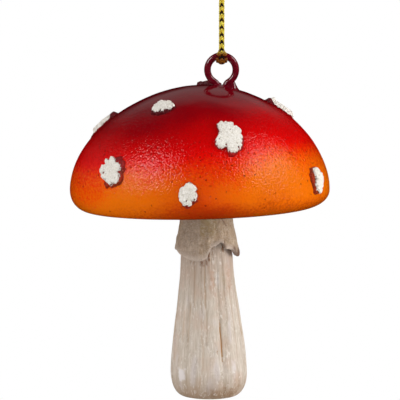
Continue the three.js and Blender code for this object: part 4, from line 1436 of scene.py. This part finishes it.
def stem_paint():
    finish, tree, shader = new_finish("stem_drybrush")
    streak = grain(tree, 0.34 * MM, 4.0, (1.0, 1.0, 0.045), 0.65)
    pink = grain(tree, 4.5 * MM)
    olive = grain(tree, 3.6 * MM, 2.0, (1.0, 1.0, 0.5))
    lilac = grain(tree, 2.4 * MM, 3.0, (1.0, 1.0, 0.3))
    grit = grain(tree, 0.4 * MM, 3.0, roughness=0.7)
    seam = grain(tree, 1.5 * MM, 3.0, (1.0, 1.0, 0.13), 0.6)
    broken = grain(tree, 0.8 * MM, 3.0, roughness=0.6)
    z = axes_of(tree)["Z"]
    ragged_z = plus(tree, z, span(tree, grain(tree, 2.5 * MM, 3.0), 0.0, 1.0, -2.0 * MM, 2.0 * MM))
    foot = span(tree, ragged_z, WIDEST_Z + (FOOT + 6.0) * MM, WIDEST_Z + (FOOT + 0.6) * MM)
    # Painted shade: darker and warmer towards the skirt above.
    skirt_shade = times(tree, span(tree, z, WIDEST_Z - 24.0 * MM, WIDEST_Z - 14.0 * MM, 0.0, 0.5),
                  span(tree, olive, 0.3, 0.6, 0.5, 1.0))
    low = marked(tree, "groove", span(tree, streak, 0.25, 0.7, 1.0, 0.55))
    ridge = times(tree, thin_line(tree, seam, 0.5, 0.024), span(tree, broken, 0.46, 0.58))
    # A dark line beside each pale ridge, painted as its shadow.
    furrow_shade = times(tree, thin_line(tree, seam, 0.54, 0.02), span(tree, broken, 0.54, 0.42))
    cream = tint(tree, span(tree, streak, 0.34, 0.66), rgb(198, 183, 166), rgb(224, 212, 199))
    colour = layered(
        tree, cream,
        (span(tree, pink, 0.50, 0.72, 0.0, 0.55), rgb(208, 178, 158)),
        (span(tree, olive, 0.36, 0.22, 0.0, 0.5), rgb(188, 172, 142)),
        (span(tree, lilac, 0.55, 0.68, 0.0, 0.5), rgb(216, 205, 204)),
        (times(tree, low, 0.42), rgb(172, 154, 132)),
        (span(tree, marked(tree, "crack"), 0.1, 0.9, 0.0, 0.9), rgb(176, 128, 72)),
        (marked(tree, "dirt", span(tree, grit, 0.40, 0.56, 0.25, 0.95)), rgb(150, 112, 76)),
        (skirt_shade, rgb(184, 154, 134)),
        (marked(tree, "blush", 0.6), rgb(198, 158, 134)),
        # Painted shadow just under the skirt's hem.
        (marked(tree, "smudge", span(tree, grit, 0.36, 0.52, 0.45, 0.95)), rgb(138, 96, 64)),
        (times(tree, foot, 0.75), rgb(156, 124, 94)),
        (marked(tree, "pale", 0.8), rgb(234, 226, 224)),
        (times(tree, ridge, 0.7), rgb(242, 236, 228)),
        (times(tree, furrow_shade, 0.26), rgb(140, 118, 98)),
    )
    give(tree, shader, {"Base Color": colour, "Specular IOR Level": 0.3,
                        "Roughness": span(tree, streak, 0.3, 0.7, 0.85, 0.65)})
    fuzz = plus(tree, streak, times(tree, grit, 0.5))
    fuzz = plus(tree, fuzz, times(tree, minus(tree, ridge, furrow_shade), 0.45))
    bump(tree, shader, fuzz, 0.12 * MM, 0.8)
    return finish


dress(stem, "mushroom", "stem_cream", stem_paint(), "stem")

# %% [markdown]
# ## The skirt
#
# The torn ring that a young cap leaves behind: a thin collar, close to the neck at the top, flared
# at the hem and torn into lobes. Cloth simulation would make soft folds, but this one is cast and
# stiff. So a closed ring is turned flat, its lower edge is drawn down by a list of hem points, and
# its wall is crumpled.

# %% Turn the skirt
SKIRT_TOP, SKIRT_LENGTH, SKIRT_BORE, HEM_BORE = -3.2, 12.2, 5.0, 6.35
SKIRT_WALL, HEM_THIN, SKIRT_ARC_R = 0.9, 0.35, 6.5
# Degrees to the right of the front, and the share of the full length that the hem reaches there.
HEM = [
    (-180, 0.85), (-165, 0.9), (-150, 0.93), (-134, 0.84), (-118, 0.79), (-104, 0.83),
    (-90, 0.845), (-78, 0.84), (-67, 0.82), (-62, 0.825), (-58, 0.86), (-51, 0.905), (-45, 0.93),
    (-32, 0.975), (-24, 0.99), (-15, 1.0), (-6, 0.98), (0, 0.93), (3, 0.87), (6, 0.8), (9, 0.75),
    (13, 0.73), (19, 0.7), (25, 0.67), (31, 0.665), (33, 0.68), (35.5, 0.79), (44, 0.79),
    (50, 0.8), (60, 0.88), (68, 0.94), (78, 0.965), (88, 0.95), (96, 0.92), (108, 0.83),
    (118, 0.82), (132, 0.91), (146, 0.94), (160, 0.87),
]


def skirt_inner(t):
    return SKIRT_BORE + (HEM_BORE - SKIRT_BORE) * smooth((t - 0.2) / 0.8)


def skirt_outer(t):
    return skirt_inner(t) + SKIRT_WALL * (1 - HEM_THIN * t)


rings = [(float(skirt_outer(t)), -t) for t in np.linspace(0.0, 1.0, 30)]
rings += [(float(skirt_inner(t)), -t) for t in np.linspace(1.0, 0.0, 14)]
rings.append(rings[0])
skirt = turned("torn_skirt", metres(rings), 216, ring_shape=True)
print("skirt turned from", len(rings), "rings")

# %% Draw down the hem and crumple the wall
FOLD_OUT, BULGE_OUT, DENT_OUT = 0.08, 0.12, 0.07
NOTCH, NICK = 0.22, 0.12
p = corners(skirt) / MM
r, t = np.hypot(p[:, 0], p[:, 1]), -p[:, 2]
angle = np.degrees(np.arctan2(p[:, 0], -p[:, 1]))
outer = r > (skirt_inner(t) + skirt_outer(t)) / 2
length = SKIRT_LENGTH * np.interp(angle, *zip(*HEM), period=360)
ring_place = np.stack([np.sin(np.radians(angle)) * SKIRT_ARC_R,
                       np.cos(np.radians(angle)) * SKIRT_ARC_R, t * 0], axis=1)
length += t * (NOTCH * clouds(ring_place, 0.5, 3.0) + NICK * clouds(ring_place, 0.2, 8.0))
p[:, 2] = SKIRT_TOP - t * length
down = -p[:, 2]
wall_place = ring_place + np.array([0, 0, 1.0]) * p[:, 2:]
fold = 1.0 - 3.0 * np.abs(clouds(wall_place, (1.7, 1.7, 2.6), 2.0))
crumple = FOLD_OUT * fold + BULGE_OUT * clouds(wall_place, (2.4, 2.4, 4.0), 5.0)
crumple += DENT_OUT * clouds(wall_place, 0.8, 6.0, 2)


def between(value, low, soft_low, high, soft_high):
    """1 between low and high, fading in over soft_low and out over soft_high."""
    return smooth((value - low) / soft_low) * smooth((high - value) / soft_high)


# The long lobe at the front left and the flap at the right stand out, and the rim is rolled.
LOBE_OUT, FLAP_OUT, RIM_ROLL = 0.45, 0.22, 0.16
lobe = LOBE_OUT * between(angle, -68, 8, 9, 8) * smooth((t - 0.3) / 0.5)
flap = FLAP_OUT * between(angle, 34, 4, 118, 20) * smooth((t - 0.35) / 0.5)
rim = smooth((t - 0.86) / 0.1)
rolled = RIM_ROLL * rim * np.where(outer, 1.0, -0.6)
push = np.where(outer, 1.0, 0.45) * crumple * smooth(t / 0.15)
push = push + np.where(outer, lobe, lobe * 0.7) + flap + rolled
p[:, :2] *= (1 + push / r)[:, None]
print("skirt from", round(float(down.min()), 1), "to", round(float(down.max()), 1), "mm down")

# %% Tears and marks of the skirt
# A slanting crack and a slit are cut into the wall, and the corner on the right curls. Shade is
# painted inside the crack and the slit and under the curl.
TEAR_DEEP = 0.25
crack_at = 31 + (down - 5.6) * 7.0
crack = np.clip(1 - np.abs(angle - crack_at) / 2.6, 0, 1) * between(down, 5.4, 0.6, 8.0, 0.6)
slit = np.clip(1 - np.abs(angle - 34.5) / 3.0, 0, 1) * smooth((down - 10.4) / 0.8)
curl = 0.95 * between(angle, 48, 12, 100, 12) * smooth((t - 0.84 + 0.05 * fold) / 0.08)
p[:, :2] *= (1 - TEAR_DEEP * np.maximum(crack, slit) * outer / r)[:, None]
p[:, 0] += STEM_SHIFT + stem_lean(p[:, 2])
move_corners(skirt, to_frame(p))
skirt_marks = {
    # fold marks the hollows of the crumple, where shade is painted.
    "rim": rim, "fold": np.clip(-fold, 0, 1),
    "olive": between(angle, -15, 4, 24, 4) * smooth((10.0 - down) / 0.8),
    "lilac": between(angle, -75, 20, -10, 6),
    # Where shade is painted: in the crack, in the slit and under the curl.
    "tear": np.maximum.reduce([crack, slit, curl]),
}
for name, values in skirt_marks.items():
    mark(skirt, name, values)
press(skirt, "SUBSURF", levels=1, render_levels=1)
print("skirt:", len(skirt.data.polygons), "faces")

# %% [markdown]
# ### The skirt's paint
#
# The skirt has the stem's cream over a browner ground, with specks, a crackle of pale ridges and
# worn pale edges. Shade is painted under the cap, in the hollows of its folds, in the creases of
# the crackle, inside its tears and under the curled corner. It is built up in coats as the stem is.
# The stem and the skirt are hidden from reflections, because under the lip they would show in the
# lacquer as pale stripes that the picture doesn't have.

# %% Skirt paint
def skirt_paint():
    finish, tree, shader = new_finish("skirt_drybrush")
    streak = grain(tree, 0.5 * MM, 4.0, (1.0, 1.0, 0.35), 0.65)
    speck = grain(tree, 0.42 * MM, 2.0, roughness=0.7)
    crackle = grain(tree, 1.7 * MM, 3.0, roughness=0.6)
    brushed = span(tree, grain(tree, 1.1 * MM), 0.35, 0.6, 0.35, 0.75)
    # Painted shadow of the cap on the top of the skirt.
    cap_shadow = span(tree, axes_of(tree)["Z"], WIDEST_Z - 11.0 * MM, WIDEST_Z - 5.0 * MM, 0.0, 0.4)
    # Dark lines in the creases of the crackle, painted as shade.
    furrow_shade = times(tree, thin_line(tree, crackle, 0.5, 0.016),
                   span(tree, speck, 0.40, 0.56, 0.1, 1.0))
    ridge = thin_line(tree, crackle, 0.535, 0.025)
    cream = tint(tree, span(tree, streak, 0.35, 0.65), rgb(176, 150, 124), rgb(214, 192, 168))
    colour = layered(
        tree, cream,
        (span(tree, speck, 0.46, 0.34, 0.0, 0.55), rgb(140, 116, 94)),
        (span(tree, speck, 0.56, 0.68, 0.0, 0.5), rgb(226, 212, 198)),
        (span(tree, grain(tree, 2.2 * MM, 3.0), 0.48, 0.68, 0.0, 0.55), rgb(178, 150, 122)),
        (marked(tree, "lilac", 0.35), rgb(188, 172, 162)),
        (cap_shadow, rgb(146, 116, 90)),
        (marked(tree, "olive", brushed), rgb(172, 148, 108)),
        # Painted shade in the hollows of the folds.
        (marked(tree, "fold", 0.35), rgb(150, 126, 104)),
        (marked(tree, "rim", 0.7), rgb(216, 198, 184)),
        # Painted shade inside the crack and the slit and under the curled corner.
        (marked(tree, "tear", 0.9), rgb(104, 68, 50)),
        (times(tree, ridge, 0.4), rgb(230, 216, 202)),
        (times(tree, furrow_shade, 0.4), rgb(124, 100, 82)),
    )
    give(tree, shader, {"Base Color": colour, "Roughness": 0.8, "Specular IOR Level": 0.3})
    broad = off_level(tree, grain(tree, 2.6 * MM, 1.0, (1.0, 1.0, 0.7)), 0.5)
    sharp = off_level(tree, grain(tree, 1.1 * MM), 0.5)
    crease = plus(tree, span(tree, broad, 0.0, 0.12),
                  times(tree, span(tree, sharp, 0.0, 0.14), 0.6))
    fuzz = plus(tree, times(tree, streak, 0.8), times(tree, crease, 0.55))
    fuzz = plus(tree, fuzz, times(tree, minus(tree, ridge, furrow_shade), 0.3))
    bump(tree, shader, fuzz, 0.2 * MM, 0.9)
    return finish


dress(skirt, "mushroom", "skirt_cream", skirt_paint(), "skirt")
for piece in (stem, skirt):
    piece.visible_glossy = False

# %% [markdown]
# ## The floor
#
# The picture is a plain studio shot on white. The floor is a little below the hanging foot. A white
# floor could be made by more light, but that would bleach the stem. So near the object the paper is
# plain, to keep its shadow, and further out it fades to pure white for the camera alone.

# %% Floor
FLOOR_BELOW, FLOOR_SIZE = 30 * MM, 12.0
SHADOW_ENDS, WHITE_FROM = 0.05, 0.14
foot_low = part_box("stem")[0]
FLOOR_Z = foot_low.z - FLOOR_BELOW
bpy.ops.object.select_all(action="DESELECT")
bpy.ops.mesh.primitive_plane_add(size=FLOOR_SIZE, location=(0, 0, FLOOR_Z))
floor = bpy.context.object
floor.name = "studio_floor"
paper, tree, shader = new_finish("white_paper")
shade = tint(tree, grain(tree, 0.02), rgb(232, 232, 232), rgb(240, 240, 240))
give(tree, shader, {"Base Color": shade, "Roughness": 0.9, "Specular IOR Level": 0.0})
path = add(tree, "ShaderNodeLightPath").outputs
seen = calc(tree, "MAXIMUM", path["Is Camera Ray"], path["Is Transmission Ray"])
far = add(tree, "ShaderNodeVectorMath", {0: place_of(tree)}, operation="LENGTH").outputs["Value"]
lit = times(tree, seen, span(tree, far, SHADOW_ENDS, WHITE_FROM))
glow = add(tree, "ShaderNodeEmission", {"Color": (1, 1, 1, 1), "Strength": 1.0})
both = add(tree, "ShaderNodeMixShader", {
    0: lit, 1: shader.outputs["BSDF"], 2: glow.outputs["Emission"],
})
give(tree, tree.nodes["Material Output"], {"Surface": both.outputs["Shader"]})
floor.data.materials.append(paper)
floor.visible_glossy = False
print("floor at", round(FLOOR_Z / MM, 1), "mm")

# %% [markdown]
# ## The light
#
# Two soft boxes, one to the left and one to the right, make the two long glints on the cap. Three
# large fills, which the gloss doesn't show, light the stem from the front and from both sides. The
# studio is white for the camera and an even grey for the light on the object. The lacquer sees it
# as dark but for a panel behind and one on the left, because white all round would grey the red.

# %% Lights
# Each: name, direction from the cap, distance, width and height in metres, watts.
BOXES = [
    ("left_box", (-0.67, -0.48, 0.57), 0.55, 0.17, 0.25, 0.80),
    ("right_box", (0.733, -0.230, 0.640), 0.55, 0.22, 0.25, 0.62),
]
FILLS = [
    ("front_fill", (0.0, -1.0, 0.1), 0.9, 0.6, 0.6, 0.85),
    ("right_fill", (1.0, -0.2, -0.04), 0.9, 0.6, 0.6, 7.6),
    ("left_fill", (-1.0, -0.3, -0.15), 0.9, 0.6, 0.6, 2.1),
]


def soft_box(name, towards, distance, width, height, watts):
    aim = Vector((CAP_X, 0, WIDEST_Z))
    spot = aim + Vector(towards).normalized() * distance
    bpy.ops.object.select_all(action="DESELECT")
    bpy.ops.object.light_add(
        type="AREA", location=spot, rotation=(aim - spot).to_track_quat("-Z", "Y").to_euler()
    )
    lamp = bpy.context.object
    lamp.name = name
    lamp.data.shape = "RECTANGLE"
    lamp.data.size, lamp.data.size_y = width, height
    lamp.data.energy = watts
    return lamp


for box in BOXES:
    soft_box(*box)
for fill in FILLS:
    soft_box(*fill).visible_glossy = False

# %% Studio
STUDIO_GREY = 0.45
BACK_PANEL, LEFT_PANEL = 0.22, 0.17
world = bpy.data.worlds.new("white_studio")
bpy.context.scene.world = world
world.use_nodes = True
tree = world.node_tree
tree.nodes.clear()
path = add(tree, "ShaderNodeLightPath").outputs
facing = add(tree, "ShaderNodeTexCoord").outputs["Generated"]
x, y, z = add(tree, "ShaderNodeSeparateXYZ", {"Vector": facing}).outputs
back_panel = times(tree, span(tree, z, 0.25, 0.42), span(tree, z, 0.87, 0.74),
                   span(tree, y, 0.05, 0.35, 0.0, BACK_PANEL),
                   span(tree, calc(tree, "ABSOLUTE", x), 0.46, 0.24))
left_panel = times(tree, span(tree, x, -0.52, -0.70, 0.0, LEFT_PANEL),
                   span(tree, z, 0.10, 0.30), span(tree, z, 0.62, 0.45))
panels = calc(tree, "MAXIMUM", back_panel, left_panel)
shiny = calc(tree, "MAXIMUM", path["Is Glossy Ray"], path["Is Transmission Ray"])
level = add(tree, "ShaderNodeMix", {0: shiny, 2: STUDIO_GREY, 3: panels}).outputs[0]
level = calc(tree, "MAXIMUM", level, path["Is Camera Ray"])
sky = add(tree, "ShaderNodeBackground", {"Color": (1, 1, 1, 1), "Strength": level})
add(tree, "ShaderNodeOutputWorld", {"Surface": sky.outputs["Background"]})
bpy.context.scene.view_settings.view_transform = "Standard"
print("studio of", len(tree.nodes), "nodes")
